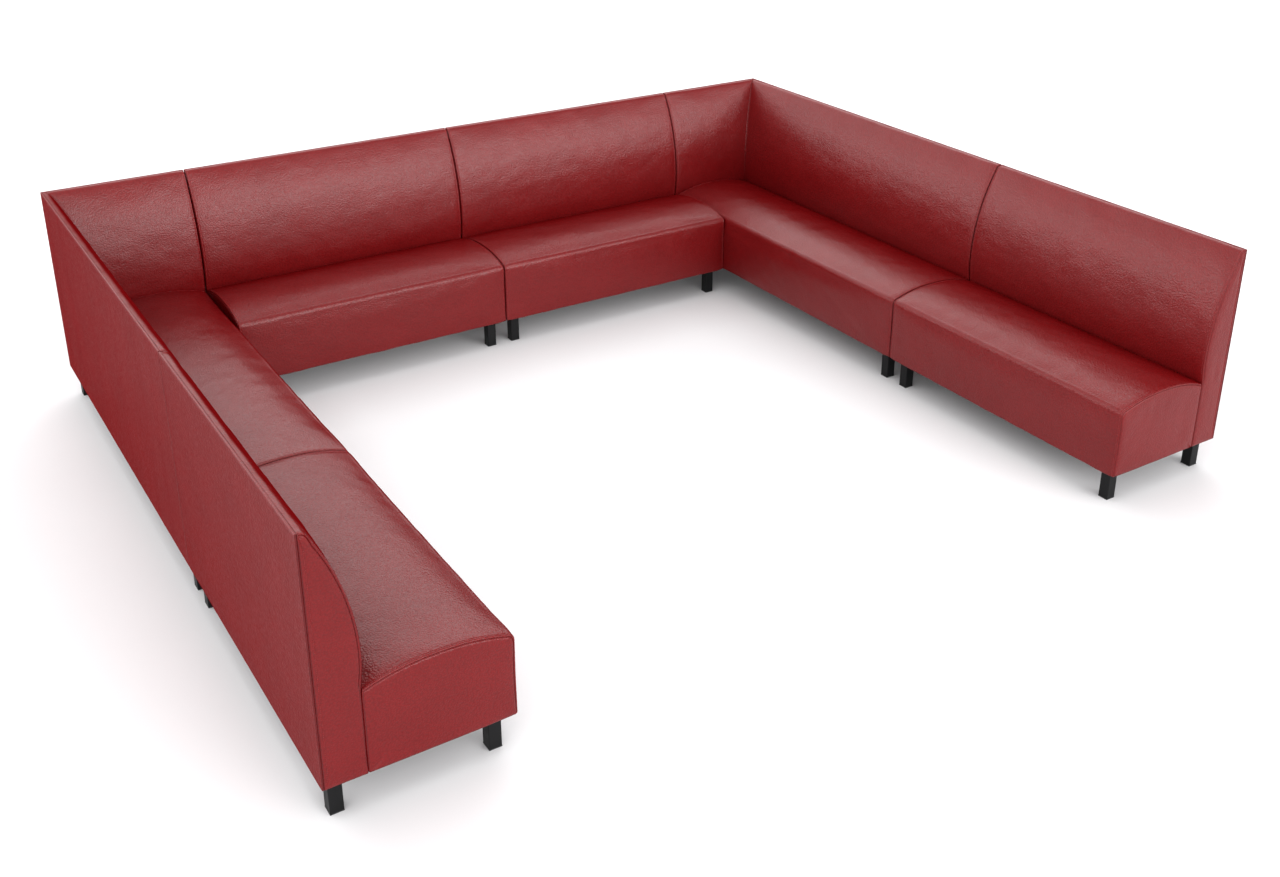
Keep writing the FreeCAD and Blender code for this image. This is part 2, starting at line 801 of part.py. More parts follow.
def straight_module(name, where, linked):
    """A straight module; linked says which ends' rear and front legs carry link plates."""
    low, high = "-module_length / 2", "module_length / 2"
    inner_low, inner_high = total(low, INNER), "{0} - {1}".format(high, INNER)
    ends = {"low": "({0}) + {1}".format(low, LEG_END), "high": "({0}) - {1}".format(high, LEG_END)}
    rows = {"rear": LEG_REAR, "front": LEG_FRONT}
    legs = [(ends[end], rows[row]) for end in ends for row in rows]
    rear_legs = [(ends[end], LEG_REAR) for end in ends]
    front_legs = [(ends[end], LEG_FRONT, end) for end in ends]
    bolts = bay_middles(inner_low, inner_high, STRAIGHT_RIB_COUNT)
    stand([seat_cover(low, high)], name + "_seat_cover", where, node=True)
    stand([seat_foam(low, high)], name + "_seat_foam", where, node=True)
    stand(seat_frame(low, high, front_legs, bolts), name + "_seat_frame", where, node=True)
    straps = seat_webbing(low, high, STRAIGHT_STRAP_COUNT)
    stand(straps, name + "_seat_webbing", where, node=True)
    stand([back_cover(low, high, None, bolts)], name + "_back_cover", where, node=True)
    stand([back_foam(low, high, None)], name + "_back_foam", where, node=True)
    timber = [sole_board(inner_low, inner_high, rear_legs)]
    timber += rib_row(inner_low, inner_high, STRAIGHT_RIB_COUNT, True)
    stand(timber, name + "_back_frame", where, node=True)
    stand([outer_panel(low, high)], name + "_outer_panel", where, node=True)
    plates = [
        (ends[end], rows[row], way)
        for (end, row), (way, owned) in linked.items()
        if owned
    ]
    free = [(ends[end], rows[row]) for end in ends for row in rows if (end, row) not in linked]
    add_legs(name, where, legs, free, plates, low, high, bolts)


def corner_module(name, where, hand):
    """A corner module: a long back, a short return across its far end, and one long seat.

    The hand is 1 where the return is at the high end of X, and -1 where it is at the low end.
    """
    far = "corner_length" if hand > 0 else "-corner_length"
    low, high = ("0", far) if hand > 0 else (far, "0")
    mitre = "high" if hand > 0 else "low"
    seat_far = "{0} * (corner_length - {1} - fit_clearance)".format(hand, hip_depth(CROWN_HEIGHT))
    seat_low, seat_high = ("0", seat_far) if hand > 0 else (seat_far, "0")
    near_leg = "{0} * {1}".format(hand, LEG_END)
    far_leg = "{0} * (corner_length - {1})".format(hand, LEG_REAR)
    rear_near, rear_far = (near_leg, LEG_REAR), (far_leg, LEG_REAR)
    front_near, front_far = (near_leg, LEG_FRONT), (far_leg, LEG_FRONT)
    legs = [rear_near, rear_far, front_near, front_far]
    # The ribs of the long back stop where the return's timber starts.
    board_far = "{0} * (corner_length - outer_panel_thickness)".format(hand)
    rib_far = "{0} * (corner_length - back_base_depth)".format(hand)
    near = "{0} * {1}".format(hand, INNER)
    board = (near, board_far) if hand > 0 else (board_far, near)
    row = (near, rib_far) if hand > 0 else (rib_far, near)
    bolts = bay_middles(*row, CORNER_RIB_COUNT)
    # The return's own frame has its outer face along X and its depth inwards.
    turn = 90 * hand
    return_low, return_high = ("0", "module_depth") if hand > 0 else ("-module_depth", "0")
    return_foot = "{0} * (back_base_depth - {1})".format(hand, INNER)
    return_end = "{0} * (module_depth - {1})".format(hand, INNER)
    return_span = (return_foot, return_end) if hand > 0 else (return_end, return_foot)
    return_rib_foot = "{0} * back_base_depth".format(hand)
    return_row = (return_rib_foot, return_end) if hand > 0 else (return_end, return_rib_foot)
    return_panel = ("outer_panel_thickness", "module_depth")
    if hand < 0:
        return_panel = ("-module_depth", "-outer_panel_thickness")
    return_mitre = "low" if hand > 0 else "high"
    return_leg = ("{0} * {1}".format(hand, LEG_FRONT), LEG_REAR)

    def turned(pieces):
        return place(group(pieces), far, "0", "0", turn)

    stand([seat_cover(seat_low, seat_high)], name + "_seat_cover", where, node=True)
    stand([seat_foam(seat_low, seat_high)], name + "_seat_foam", where, node=True)
    front_leg = [front_near + (("low" if hand > 0 else "high"),)]
    timber = seat_frame(seat_low, seat_high, front_leg, bolts)
    stand(timber, name + "_seat_frame", where, node=True)
    straps = seat_webbing(seat_low, seat_high, CORNER_STRAP_COUNT)
    stand(straps, name + "_seat_webbing", where, node=True)
    covers = [
        back_cover(low, high, mitre, bolts),
        turned([back_cover(return_low, return_high, return_mitre, [])]),
    ]
    stand(covers, name + "_back_cover", where, node=True)
    pads = [
        back_foam(low, high, mitre),
        turned([back_foam(return_low, return_high, return_mitre)]),
    ]
    stand(pads, name + "_back_foam", where, node=True)
    post_low = "corner_length - outer_panel_thickness - corner_post_width"
    if hand < 0:
        post_low = "-corner_length + outer_panel_thickness"
    post_height = "seat_edge_height + middle_rail_lift + middle_rail_height - {0}"
    post = box(
        (post_low, "outer_panel_thickness", SOLE_TOP),
        ("corner_post_width", "corner_post_width", post_height.format(SOLE_TOP)))
    timber = [sole_board(*board, [rear_near, rear_far]), cut(post, [leg_hole(*rear_far)])]
    timber += rib_row(*row, CORNER_RIB_COUNT, True)
    timber.append(turned(
        [sole_board(*return_span, [return_leg])] + rib_row(*return_row, RETURN_RIB_COUNT, False)))
    stand(timber, name + "_back_frame", where, node=True)
    panels = [outer_panel(low, high), turned([outer_panel(*return_panel)])]
    stand(panels, name + "_outer_panel", where, node=True)
    add_legs(name, where, legs, [rear_far], [], low, high, bolts)


half_width = "{0} / 2".format(TOTAL_WIDTH)
half_depth = "{0} / 2".format(TOTAL_DEPTH)
wing_middle = "module_length / 2 - {0}".format(half_depth)
corner_start = "module_length + module_gap - {0}".format(half_depth)
row_middle = "(module_length + module_gap) / 2"

# Each leg that a link plate reaches, with the way to its neighbour and whether this module's
# pieces include the plate.
straight_module(
    "left_end",
    {"x": "-({0})".format(half_width), "y": wing_middle, "turn": -90},
    {("low", "rear"): (-1, True), ("low", "front"): (-1, True)},
)
straight_module(
    "right_end",
    {"x": half_width, "y": wing_middle, "turn": 90},
    {("high", "rear"): (1, True), ("high", "front"): (1, True)},
)
straight_module(
    "back_left",
    {"x": "-({0})".format(row_middle), "y": half_depth, "turn": 180},
    {("low", "rear"): (-1, True), ("low", "front"): (-1, True), ("high", "rear"): (1, True)},
)
straight_module(
    "back_right",
    {"x": row_middle, "y": half_depth, "turn": 180},
    {("low", "rear"): (-1, True), ("high", "rear"): (1, False), ("high", "front"): (1, False)},
)
corner_module(
    "left_corner", {"x": "-({0})".format(half_width), "y": corner_start, "turn": -90}, -1)
corner_module("right_corner", {"x": half_width, "y": corner_start, "turn": 90}, 1)
for label, groups in fixings.items():
    finish_node(label, group(groups))

doc.recompute()

faults = [thing.Label for thing in doc.Objects if {"Invalid", "Error"} & set(thing.State)]
if faults:
    raise RuntimeError("these did not recompute: " + ", ".join(faults))
for node in nodes:
    if node.Shape.isNull() or not node.Shape.isValid() or not node.Shape.Solids:
        raise RuntimeError(node.Label + " has no valid solid")

os.makedirs("parts", exist_ok=True)
for node in nodes:
    node.Shape.exportStep(os.path.join("parts", node.Label + ".step"))
whole = Part.makeCompound([node.Shape for node in nodes]).BoundBox
print(len(nodes), "sub-parts,", sum(len(node.Shape.Solids) for node in nodes), "solids")
print("the whole measures", whole.XLength, whole.YLength, whole.ZLength)
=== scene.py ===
import math

import bmesh
import bpy
import numpy as np
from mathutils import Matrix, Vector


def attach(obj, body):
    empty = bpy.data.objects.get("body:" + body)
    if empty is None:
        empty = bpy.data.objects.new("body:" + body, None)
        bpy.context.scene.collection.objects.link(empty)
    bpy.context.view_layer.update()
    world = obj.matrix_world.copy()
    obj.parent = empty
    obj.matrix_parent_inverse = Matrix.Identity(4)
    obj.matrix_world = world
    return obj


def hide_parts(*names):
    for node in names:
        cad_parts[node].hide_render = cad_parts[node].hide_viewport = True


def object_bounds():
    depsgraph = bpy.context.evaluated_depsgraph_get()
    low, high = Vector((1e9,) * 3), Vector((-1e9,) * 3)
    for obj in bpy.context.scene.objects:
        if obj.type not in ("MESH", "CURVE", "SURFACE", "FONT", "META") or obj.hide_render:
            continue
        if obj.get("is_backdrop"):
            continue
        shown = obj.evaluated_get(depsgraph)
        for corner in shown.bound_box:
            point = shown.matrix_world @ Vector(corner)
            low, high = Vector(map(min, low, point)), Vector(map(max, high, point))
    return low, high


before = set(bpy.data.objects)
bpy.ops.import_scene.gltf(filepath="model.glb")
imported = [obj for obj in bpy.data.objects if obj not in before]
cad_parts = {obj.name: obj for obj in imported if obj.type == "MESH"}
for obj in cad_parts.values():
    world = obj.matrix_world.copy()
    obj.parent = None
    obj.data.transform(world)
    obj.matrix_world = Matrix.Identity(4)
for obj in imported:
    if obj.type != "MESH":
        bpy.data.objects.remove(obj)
cad_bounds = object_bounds()

# U-shaped booth seating: six upholstered modules round a well that is open to the front.
# Lengths are in metres. A module's own frame has X along its length, Y (depth) from its outer
# face to its front and Z up, as in the solids.

MM = 0.001

# Sizes of the modules, as the solids have them
MODULE_LENGTH = 1.300
CORNER_LENGTH = 1.925
DEPTH = 0.615
GAP = 0.004
HEIGHT = 0.965
UNDERSIDE = 0.1309
# The outer panel is thinner than its board and wadding, because the back presses into it.
PANEL = 0.0065
HALF_WIDTH = (2 * DEPTH + 2 * MODULE_LENGTH + 3 * GAP) / 2
HALF_DEPTH = (MODULE_LENGTH + GAP + CORNER_LENGTH) / 2
SEAT_REAR = 0.1382
HALF_LENGTH = MODULE_LENGTH / 2
# The corner's seat stops at the return's back.
CORNER_SEAT_END = CORNER_LENGTH - 0.1462

# Each module: name, whether it turns the corner, its place, its turn, and 1 or -1 for the hand.
MODULES = [
    ("left_end", False, (-HALF_WIDTH, HALF_LENGTH - HALF_DEPTH), -90, 1),
    ("left_corner", True, (-HALF_WIDTH, MODULE_LENGTH + GAP - HALF_DEPTH), -90, -1),
    ("back_left", False, (-(MODULE_LENGTH + GAP) / 2, HALF_DEPTH), 180, 1),
    ("back_right", False, ((MODULE_LENGTH + GAP) / 2, HALF_DEPTH), 180, 1),
    ("right_corner", True, (HALF_WIDTH, MODULE_LENGTH + GAP - HALF_DEPTH), 90, 1),
    ("right_end", False, (HALF_WIDTH, HALF_LENGTH - HALF_DEPTH), 90, 1),
]


# Outlines: closed lines of (depth, height), walked from the rear's foot up, over and back

def rounded(corners):
    """A closed line through (depth, height, setback) corners, each rounded by its setback."""
    line = []
    spots = [np.array(corner[:2], float) for corner in corners]
    for number, (spot, corner) in enumerate(zip(spots, corners)):
        setback = corner[2] if len(corner) > 2 else 0
        if not setback:
            line.append(spot)
            continue
        before = spots[number - 1] - spot
        after = spots[(number + 1) % len(spots)] - spot
        start = spot + before / np.linalg.norm(before) * setback
        end = spot + after / np.linalg.norm(after) * setback
        for share in np.linspace(0, 1, 9):
            line.append(
                (1 - share) ** 2 * start + 2 * share * (1 - share) * spot + share ** 2 * end
            )
    return np.array(line)


# A turn this large is worth one more point on an outline.
TURN_STEP = math.radians(14)


def evenly_spaced(line, spacing):
    """The closed line resampled: spacing(depth, height) apart, and closer where it turns."""
    around = np.vstack([line, line[:1]])
    steps = np.diff(around, axis=0)
    lengths = np.hypot(*steps.T)
    heading = np.unwrap(np.arctan2(steps[:, 1], steps[:, 0]))
    turns = np.abs(np.diff(np.append(heading[-1] - 2 * np.pi, heading)))
    turns = np.minimum(turns, np.abs(turns - 2 * np.pi))
    middles = (around[1:] + around[:-1]) / 2
    wanted = np.array([spacing(*middle) for middle in middles])
    worth = np.append(0, np.cumsum(lengths / wanted + turns / TURN_STEP))
    count = int(round(worth[-1]))
    at = np.linspace(0, worth[-1], count, endpoint=False)
    return np.column_stack([np.interp(at, worth, around[:, axis]) for axis in (0, 1)])


# The seat's arch: its height at the middle and at the front and rear, and the power of its
# curve, which makes it a little flatter on top than a circle. ROLL is the front edge's rounding.
CROWN = 0.4590
SEAT_EDGE = 0.418
ARCH_POWER = 2.3
ROLL = (0.020, 0.026)


def seat_outline(spacing):
    """The seat from the rear, over the arched top and the rolled front edge, and under."""
    middle, reach = (SEAT_REAR + DEPTH) / 2, (DEPTH - SEAT_REAR) / 2
    depths = np.linspace(SEAT_REAR + 0.002, DEPTH - ROLL[0], 60)
    arch = 1 - np.abs((depths - middle) / reach) ** ARCH_POWER
    heights = SEAT_EDGE + (CROWN - SEAT_EDGE) * arch
    corners = [(SEAT_REAR, UNDERSIDE, 0.004), (SEAT_REAR, SEAT_EDGE - 0.010)]
    corners += list(zip(depths, heights))
    for turn in np.linspace(0, math.pi / 2, 12)[1:]:
        corners.append((
            DEPTH - ROLL[0] * (1 - math.sin(turn)),
            heights[-1] - ROLL[1] * (1 - math.cos(turn)),
        ))
    corners.append((DEPTH, UNDERSIDE, 0.007))
    return evenly_spaced(rounded(corners), spacing)


# The swept front of the back, in (depth, height): it is upright where it is deepest, and runs
# from there in one arc up to its top edge and in another down to its waist behind the seat.
BELLY = (0.1515, 0.530)
TOP_EDGE = (0.0325, HEIGHT - 0.0100)
WAIST = (0.1385, 0.416)


def arc_from_belly(end, heights):
    """Points at some heights on the arc that leaves BELLY upright and passes through end."""
    across, up = BELLY[0] - end[0], end[1] - BELLY[1]
    radius = (across ** 2 + up ** 2) / (2 * across)
    return [
        (BELLY[0] - radius + math.sqrt(radius ** 2 - (height - BELLY[1]) ** 2), height)
        for height in heights
    ]


def back_outline(spacing):
    """The back from the rear, over the narrow top, down the swept front, and under."""
    corners = [(PANEL, UNDERSIDE, 0.0012), (PANEL, HEIGHT - 0.0005, 0.0035)]
    corners += [(0.0185, HEIGHT), (0.0235, HEIGHT - 0.0012), (0.0280, HEIGHT - 0.0042)]
    corners += arc_from_belly(TOP_EDGE, np.linspace(TOP_EDGE[1], BELLY[1], 50))
    corners += arc_from_belly(WAIST, np.linspace(BELLY[1], WAIST[1], 12)[1:])
    corners.append((0.1380, UNDERSIDE, 0.004))
    return evenly_spaced(rounded(corners), spacing)


def panel_outline(spacing):
    """The flat outer panel, rounded along its outer edges."""
    corners = [
        (0.0, UNDERSIDE, 0.003),
        (0.0, HEIGHT, 0.0045),
        (PANEL, HEIGHT, 0.0014),
        (PANEL, UNDERSIDE, 0.001),
    ]
    return evenly_spaced(rounded(corners), spacing)


# Spines: the line inside each outline that its end panels close towards
SEAT_SPINE = np.array([(0.300, 0.283), (0.465, 0.283)])
BACK_SPINE = np.array([(0.073, 0.205), (0.078, 0.560), (0.062, 0.760), (0.030, 0.905)])
PANEL_SPINE = np.array([(0.0034, 0.136), (0.0034, 0.960)])


def inward(outline, spine):
    """For each point of an outline, the way to the nearest point of the spine, and how far."""
    best = None
    for start, end in zip(spine[:-1], spine[1:]):
        along = end - start
        share = np.clip((outline - start) @ along / (along @ along), 0, 1)
        to = start + share[:, None] * along - outline
        if best is None:
            best = to
        else:
            nearer = np.hypot(*to.T) < np.hypot(*best.T)
            best = np.where(nearer[:, None], to, best)
    reach = np.hypot(*best.T)
    return best / reach[:, None], reach


# The seam at each end of a wrap. Places across it are in millimetres: below zero on the wrap,
# and above zero on the end panel. PLAIN stands for a place with no seam near.
PLAIN = -200
# How far round the rounded edge the seam lies
SEAM_ANGLE = math.radians(74)
STITCH_LINE = -11.6
PANEL_STITCH_LINE = 11.3
FINE_SEAM = [
    -90, -62, -43, -31, -24, -19, -16, -14.2, -12.9, STITCH_LINE, -10.3, -9.1, -7.8, -6.4, -5.1,
    -4.0, -3.0, -2.1, -1.3, -0.6, 0, 0.7, 1.5, 2.4, 3.5, 5, 6.8, 8.6, 10.0, PANEL_STITCH_LINE,
    12.6, 14, 17,
]
FINE_PANEL = [0.08, 0.17, 0.28, 0.40, 0.54, 0.67, 0.80, 0.90]
COARSE_SEAM = [-90, -60, -36, -20, -11, -5, 0, 5, 13]
COARSE_PANEL = [0.2, 0.4, 0.65, 0.90]


def seam_relief(across):
    """How far the leatherette stands out of its plain shape, across a topstitched seam."""
    groove = -2.8 * MM * np.exp(-(across / 2.1) ** 2)
    welt = 1.3 * MM * np.exp(-((across + 6.2) / 4.0) ** 4)
    stitch_groove = -1.1 * MM * np.exp(-((across - STITCH_LINE) / 1.5) ** 2)
    return groove + welt + stitch_groove


def panel_relief(across):
    """The flat border and its stitch groove, along an end panel's edge by the outer panel."""
    border = 0.5 * MM * np.exp(-((across - 5.5) / 5.0) ** 4)
    stitch_groove = -1.9 * MM * np.exp(-((across - PANEL_STITCH_LINE) / 1.6) ** 2)
    return border + stitch_groove


# How far a seam draws the padding in, and how many millimetres of the wrap it takes along
DRAW_IN = 4.0 * MM
DRAW_REACH = 23
# An end panel stands out along its edge and then settles to its own level.
PANEL_EDGE_DROP = 1.2 * MM
PANEL_FILL, PANEL_FILL_REACH = 1.9 * MM, 4.0
PANEL_LEVEL, PANEL_LEVEL_REACH = 0.3 * MM, 0.012


def end_rings(outline, spine, edges, seam_places, panel_shares):
    """Rings that carry an outline round an end's edge and across its end panel.

    Gives for each ring its outline, how far it lies inside the module's end, and how far
    across the seam it is. Edges are, for each point of the outline, the edge's rounding
    radius, how strongly it is seamed, and how strongly the panel is stitched along it.
    """
    radius, seamed, bordered = edges
    way, reach = inward(outline, spine)
    rings = []
    seam_inset = radius * (1 - math.cos(SEAM_ANGLE))
    seam_depth = radius * (1 - math.sin(SEAM_ANGLE))
    for across in seam_places:
        relief = seam_relief(across) * seamed
        if across <= 0:
            angle = np.maximum(0, SEAM_ANGLE + across * MM / radius)
            straight = np.maximum(0, -across * MM - radius * SEAM_ANGLE)
            drawn = DRAW_IN * seamed * math.exp(-(across / DRAW_REACH) ** 2)
            inset = radius * (1 - np.cos(angle)) - np.cos(angle) * relief + drawn
            depth = radius * (1 - np.sin(angle)) + straight - np.sin(angle) * relief
        else:
            # Where the panel is narrow, its rings lie closer together.
            drawn = DRAW_IN * seamed
            room = (0.92 * reach - seam_inset - drawn) / (seam_places[-1] * MM)
            inset = seam_inset + drawn + across * MM * np.minimum(1, room)
            fill = 1 - math.exp(-across / PANEL_FILL_REACH)
            depth = seam_depth + PANEL_EDGE_DROP * seamed - PANEL_FILL * fill * seamed - relief
            depth = depth - panel_relief(across) * bordered
        rings.append((outline + way * inset[:, None], depth, across))
    last_inset, last_depth = inset, depth
    for share in panel_shares:
        inset = last_inset + (reach - last_inset) * share
        # The innermost ring is level all round, so one flat face closes it.
        level = 1 - np.exp(-(inset - last_inset) / PANEL_LEVEL_REACH)
        level = np.maximum(level, (share / panel_shares[-1]) ** 2)
        depth = last_depth - (last_depth - PANEL_LEVEL) * level
        across = seam_places[-1] + float(np.mean(inset - last_inset)) / MM
        rings.append((outline + way * inset[:, None], depth, across))
    return rings


class Padding:
    """A closed padded form as rings of points: ring by ring along it, point by point round it."""

    def __init__(self):
        self.rings = []
        self.along = []
        self.across = []

    def add(self, points, along, across):
        self.rings.append(points)
        self.along.append(along)
        self.across.append(across)


# Plain rings start this far inside an end, past the seam's rings. On the leatherette's map the
# plain rings and the far end are shifted, so that no two rings share a place.
END_REACH = 0.110
MAP_SHIFT = 0.010


def straight_padding(outline, spine, low, high, edges, seam_places, shares, pitch):
    """A form that runs straight from low to high, with an end panel at each end."""
    form = Padding()
    ends = end_rings(outline, spine, edges, seam_places, shares)
    for section, depth, across in reversed(ends):
        form.add(np.column_stack([low + depth, section]), low - across * MM, across)
    first, last = low + END_REACH, high - END_REACH
    for x in np.linspace(first, last, max(3, int((last - first) / pitch))):
        form.add(np.column_stack([np.full(len(outline), x), outline]), x + MAP_SHIFT, PLAIN)
    for section, depth, across in ends:
        along = high + 2 * MAP_SHIFT + across * MM
        form.add(np.column_stack([high - depth, section]), along, across)
    return form


# The mitre seam's rings, in millimetres from it. Rings turn from square to slanting over a
# stretch of each leg of the corner, and keep clear of the mitre.
MITRE_PLACES = [90, 60, 38, 22, 12, 7, 5.6, 5.2, 4.8, 3.8, 2.9, 2.2, 1.5, 0.9, 0.4]
COARSE_MITRE_PLACES = [60, 22, 5]
MITRE_REACH = 0.160
LONG_TURN, SHORT_TURN = 0.45, 0.25
SLANT_SHIFT = 0.06


def corner_padding(outline, spine, length, edges, seam_places, shares, pitch, fine):
    """A back that runs along X, turns in at a mitred seam and ends a module's depth away."""
    form = Padding()
    depth_of = outline[:, 0]
    ends = end_rings(outline, spine, edges, seam_places, shares)
    for section, depth, across in reversed(ends):
        form.add(np.column_stack([depth, section]), -across * MM, across)
    far = length - MITRE_REACH
    for x in np.linspace(END_REACH, far, int((far - END_REACH) / pitch)):
        shear = np.clip((x - (far - LONG_TURN)) / LONG_TURN, 0, 1) ** 2
        points = np.column_stack([x - shear * depth_of + shear * SLANT_SHIFT, outline])
        form.add(points, x + MAP_SHIFT, PLAIN)
    places = MITRE_PLACES if fine else COARSE_MITRE_PLACES
    out = normals_of_line(outline)
    for place in places:
        relief = mitre_relief(place)
        x = length - place * MM - depth_of
        points = np.column_stack([x, outline + out * relief])
        form.add(points, length - place * MM + MAP_SHIFT, -place)
    section = outline + out * mitre_relief(0.0)
    form.add(np.column_stack([length - section[:, 0], section]), length + MAP_SHIFT, 0)
    for place in reversed(places):
        section = outline + out * mitre_relief(place)
        along = depth_of + place * MM
        points = np.column_stack([length - section[:, 0], along, section[:, 1]])
        form.add(points, length + place * MM + MAP_SHIFT, -place)
    near, last = MITRE_REACH, DEPTH - END_REACH
    for y in np.linspace(near, last, max(3, int((last - near) / pitch))):
        shear = np.clip(((near + SHORT_TURN) - y) / SHORT_TURN, 0, 1) ** 2
        along = y + shear * depth_of - shear * SLANT_SHIFT
        points = np.column_stack([length - outline[:, 0], along, outline[:, 1]])
        form.add(points, length + y + MAP_SHIFT, PLAIN)
    for section, depth, across in ends:
        points = np.column_stack([length - section[:, 0], DEPTH - depth, section[:, 1]])
        form.add(points, length + DEPTH + 2 * MAP_SHIFT + across * MM, across)
    return form


def mitre_relief(place):
    """The raised edges and the groove of the mitre seam, out from the plain shape."""
    return (
        0.9 * MM * math.exp(-((place - 2.2) / 1.3) ** 2)
        - 1.0 * MM * math.exp(-(place / 0.8) ** 2)
        - 0.4 * MM * math.exp(-((place - 5.2) / 0.7) ** 2)
    )


def normals_of_line(outline):
    """Outward unit normals of a closed line that is walked clockwise."""
    steps = np.roll(outline, -1, axis=0) - np.roll(outline, 1, axis=0)
    out = np.column_stack([-steps[:, 1], steps[:, 0]])
    return out / np.hypot(*out.T)[:, None]


# Meshes

def tube_faces(start, count, around):
    """Quads between count rings of around points each, from point start on, and both end faces."""
    faces = []
    for ring in range(count - 1):
        low, high = start + ring * around, start + (ring + 1) * around
        for point in range(around):
            following = (point + 1) % around
            faces.append((low + point, low + following, high + following, high + point))
    last = start + (count - 1) * around
    faces.append(tuple(reversed(range(start, start + around))))
    faces.append(tuple(range(last, last + around)))
    return faces


def mesh_from(name, form, outline, mirrored=False):
    """One closed mesh from a form's rings, with a map in metres and the place across the seam."""
    rings = np.array(form.rings)
    if mirrored:
        rings = rings * np.array([-1, 1, 1])
    count, around = rings.shape[:2]
    places = rings.reshape(-1, 3)
    faces = tube_faces(0, count, around)
    quads = np.array(faces[:-2])
    a, b, c = places[quads[:, 0]], places[quads[:, 1]], places[quads[:, 2]]
    volume = np.einsum("ij,ij->i", a, np.cross(b, c)).sum()
    if volume < 0:
        faces = [tuple(reversed(face)) for face in faces]
    mesh = bpy.data.meshes.new(name)
    mesh.from_pydata(places.tolist(), [], faces)
    mesh.shade_smooth()
    steps = np.hypot(*(np.roll(outline, -1, axis=0) - outline).T)
    round_place = np.append(0, np.cumsum(steps))
    along = np.repeat(np.array(form.along), around)
    across = np.repeat(np.array(form.across, float), around)
    loops = np.zeros(len(mesh.loops), int)
    mesh.loops.foreach_get("vertex_index", loops)
    u = round_place[loops % around]
    starts, totals = np.zeros(len(mesh.polygons), int), np.zeros(len(mesh.polygons), int)
    mesh.polygons.foreach_get("loop_start", starts)
    mesh.polygons.foreach_get("loop_total", totals)
    # Where a ring closes, the map runs on past its last point.
    corners = starts[totals == 4][:, None] + np.arange(4)
    points = loops[corners] % around
    closing = np.ptp(points, axis=1) > 1
    u[corners[closing][points[closing] == 0]] = round_place[-1]
    layer = mesh.uv_layers.new(name="hide_map")
    layer.data.foreach_set("uv", np.column_stack([u, along[loops]]).ravel())
    attribute = mesh.attributes.new("seam_place", "FLOAT", "POINT")
    attribute.data.foreach_set("value", across.astype(np.float32))
    return mesh


def coordinates(mesh):
    flat = np.zeros(len(mesh.vertices) * 3)
    mesh.vertices.foreach_get("co", flat)
    return flat.reshape(-1, 3)


def set_coordinates(mesh, places):
    mesh.vertices.foreach_set("co", places.ravel())
    mesh.update()


def normals(mesh):
    flat = np.zeros(len(mesh.vertices) * 3)
    mesh.vertices.foreach_get("normal", flat)
    return flat.reshape(-1, 3)


def show(name, mesh):
    piece = bpy.data.objects.new(name, mesh)
    bpy.context.scene.collection.objects.link(piece)
    return piece


# Simulation: the cover is blown up from inside like stuffed foam, and held at its seams

def curve_between(at, places, values):
    """Smooth values at new places along a line, from values at known places."""
    order = np.argsort(places)
    places, values = places[order], values[order]
    slopes = np.gradient(values, places, axis=0)
    low = np.clip(np.searchsorted(places, at) - 1, 0, len(places) - 2)
    step = (places[low + 1] - places[low])[:, None, None]
    share = np.clip((at - places[low])[:, None, None] / step, 0, 1)
    squared, cubed = share ** 2, share ** 3
    return (
        (2 * cubed - 3 * squared + 1) * values[low]
        + (cubed - 2 * squared + share) * step * slopes[low]
        + (3 * squared - 2 * cubed) * values[low + 1]
        + (cubed - squared) * step * slopes[low + 1]
    )


def line_places(outline):
    """How far along a closed line each of its points is, as a share of the whole."""
    steps = np.hypot(*(np.roll(outline, -1, axis=0) - outline).T)
    return np.append(0, np.cumsum(steps))[:-1] / steps.sum()


FRAMES = 20
# The rings at an end panel's middle, and how far each moves as one, so that the panel can't
# fold where its rings close
PANEL_MIDDLES = ((0, 1.0), (-1, 1.0), (1, 0.6), (-2, 0.6))


def blown_up(form, outline, held, cap):
    """How far each point of a coarse form moves when it is blown up and held where held says.

    Large movements are eased down to the cap, so the cushion keeps its outline.
    """
    mesh = mesh_from("cloth", form, outline)
    piece = show("cloth", mesh)
    group = piece.vertex_groups.new(name="held")
    for index in np.flatnonzero(held.ravel()).tolist():
        group.add([index], 1.0, "REPLACE")
    cloth = piece.modifiers.new("Cloth", "CLOTH")
    cloth.settings.quality = 6
    cloth.settings.mass = 0.3
    cloth.settings.tension_stiffness = 25
    cloth.settings.compression_stiffness = 15
    cloth.settings.shear_stiffness = 10
    cloth.settings.bending_stiffness = 1.5
    cloth.settings.use_pressure = True
    cloth.settings.uniform_pressure_force = 4
    cloth.settings.vertex_group_mass = "held"
    cloth.settings.effector_weights.gravity = 0
    cloth.point_cache.frame_start = 1
    cloth.point_cache.frame_end = FRAMES
    scene = bpy.context.scene
    for number in range(1, FRAMES + 1):
        scene.frame_set(number)
    settled = piece.evaluated_get(bpy.context.evaluated_depsgraph_get())
    moved = coordinates(settled.data) - coordinates(mesh)
    length = np.maximum(np.linalg.norm(moved, axis=1), 1e-9)[:, None]
    moved = moved / length * cap * np.tanh(length / (4 * cap))
    moved = moved.reshape(len(form.rings), len(outline), 3)
    for middle, share in PANEL_MIDDLES:
        moved[middle] += share * (moved[middle].mean(axis=0) - moved[middle])
    bpy.data.objects.remove(piece)
    bpy.data.meshes.remove(mesh)
    scene.frame_set(1)
    return moved


# The seam itself stays put up to the first distance, in millimetres, and swells freely past
# another. End panels have little room to swell at a joint.
SEAM_HELD, SEAM_FADE = 9.0, 10.0
PANEL_SWELL = 0.35


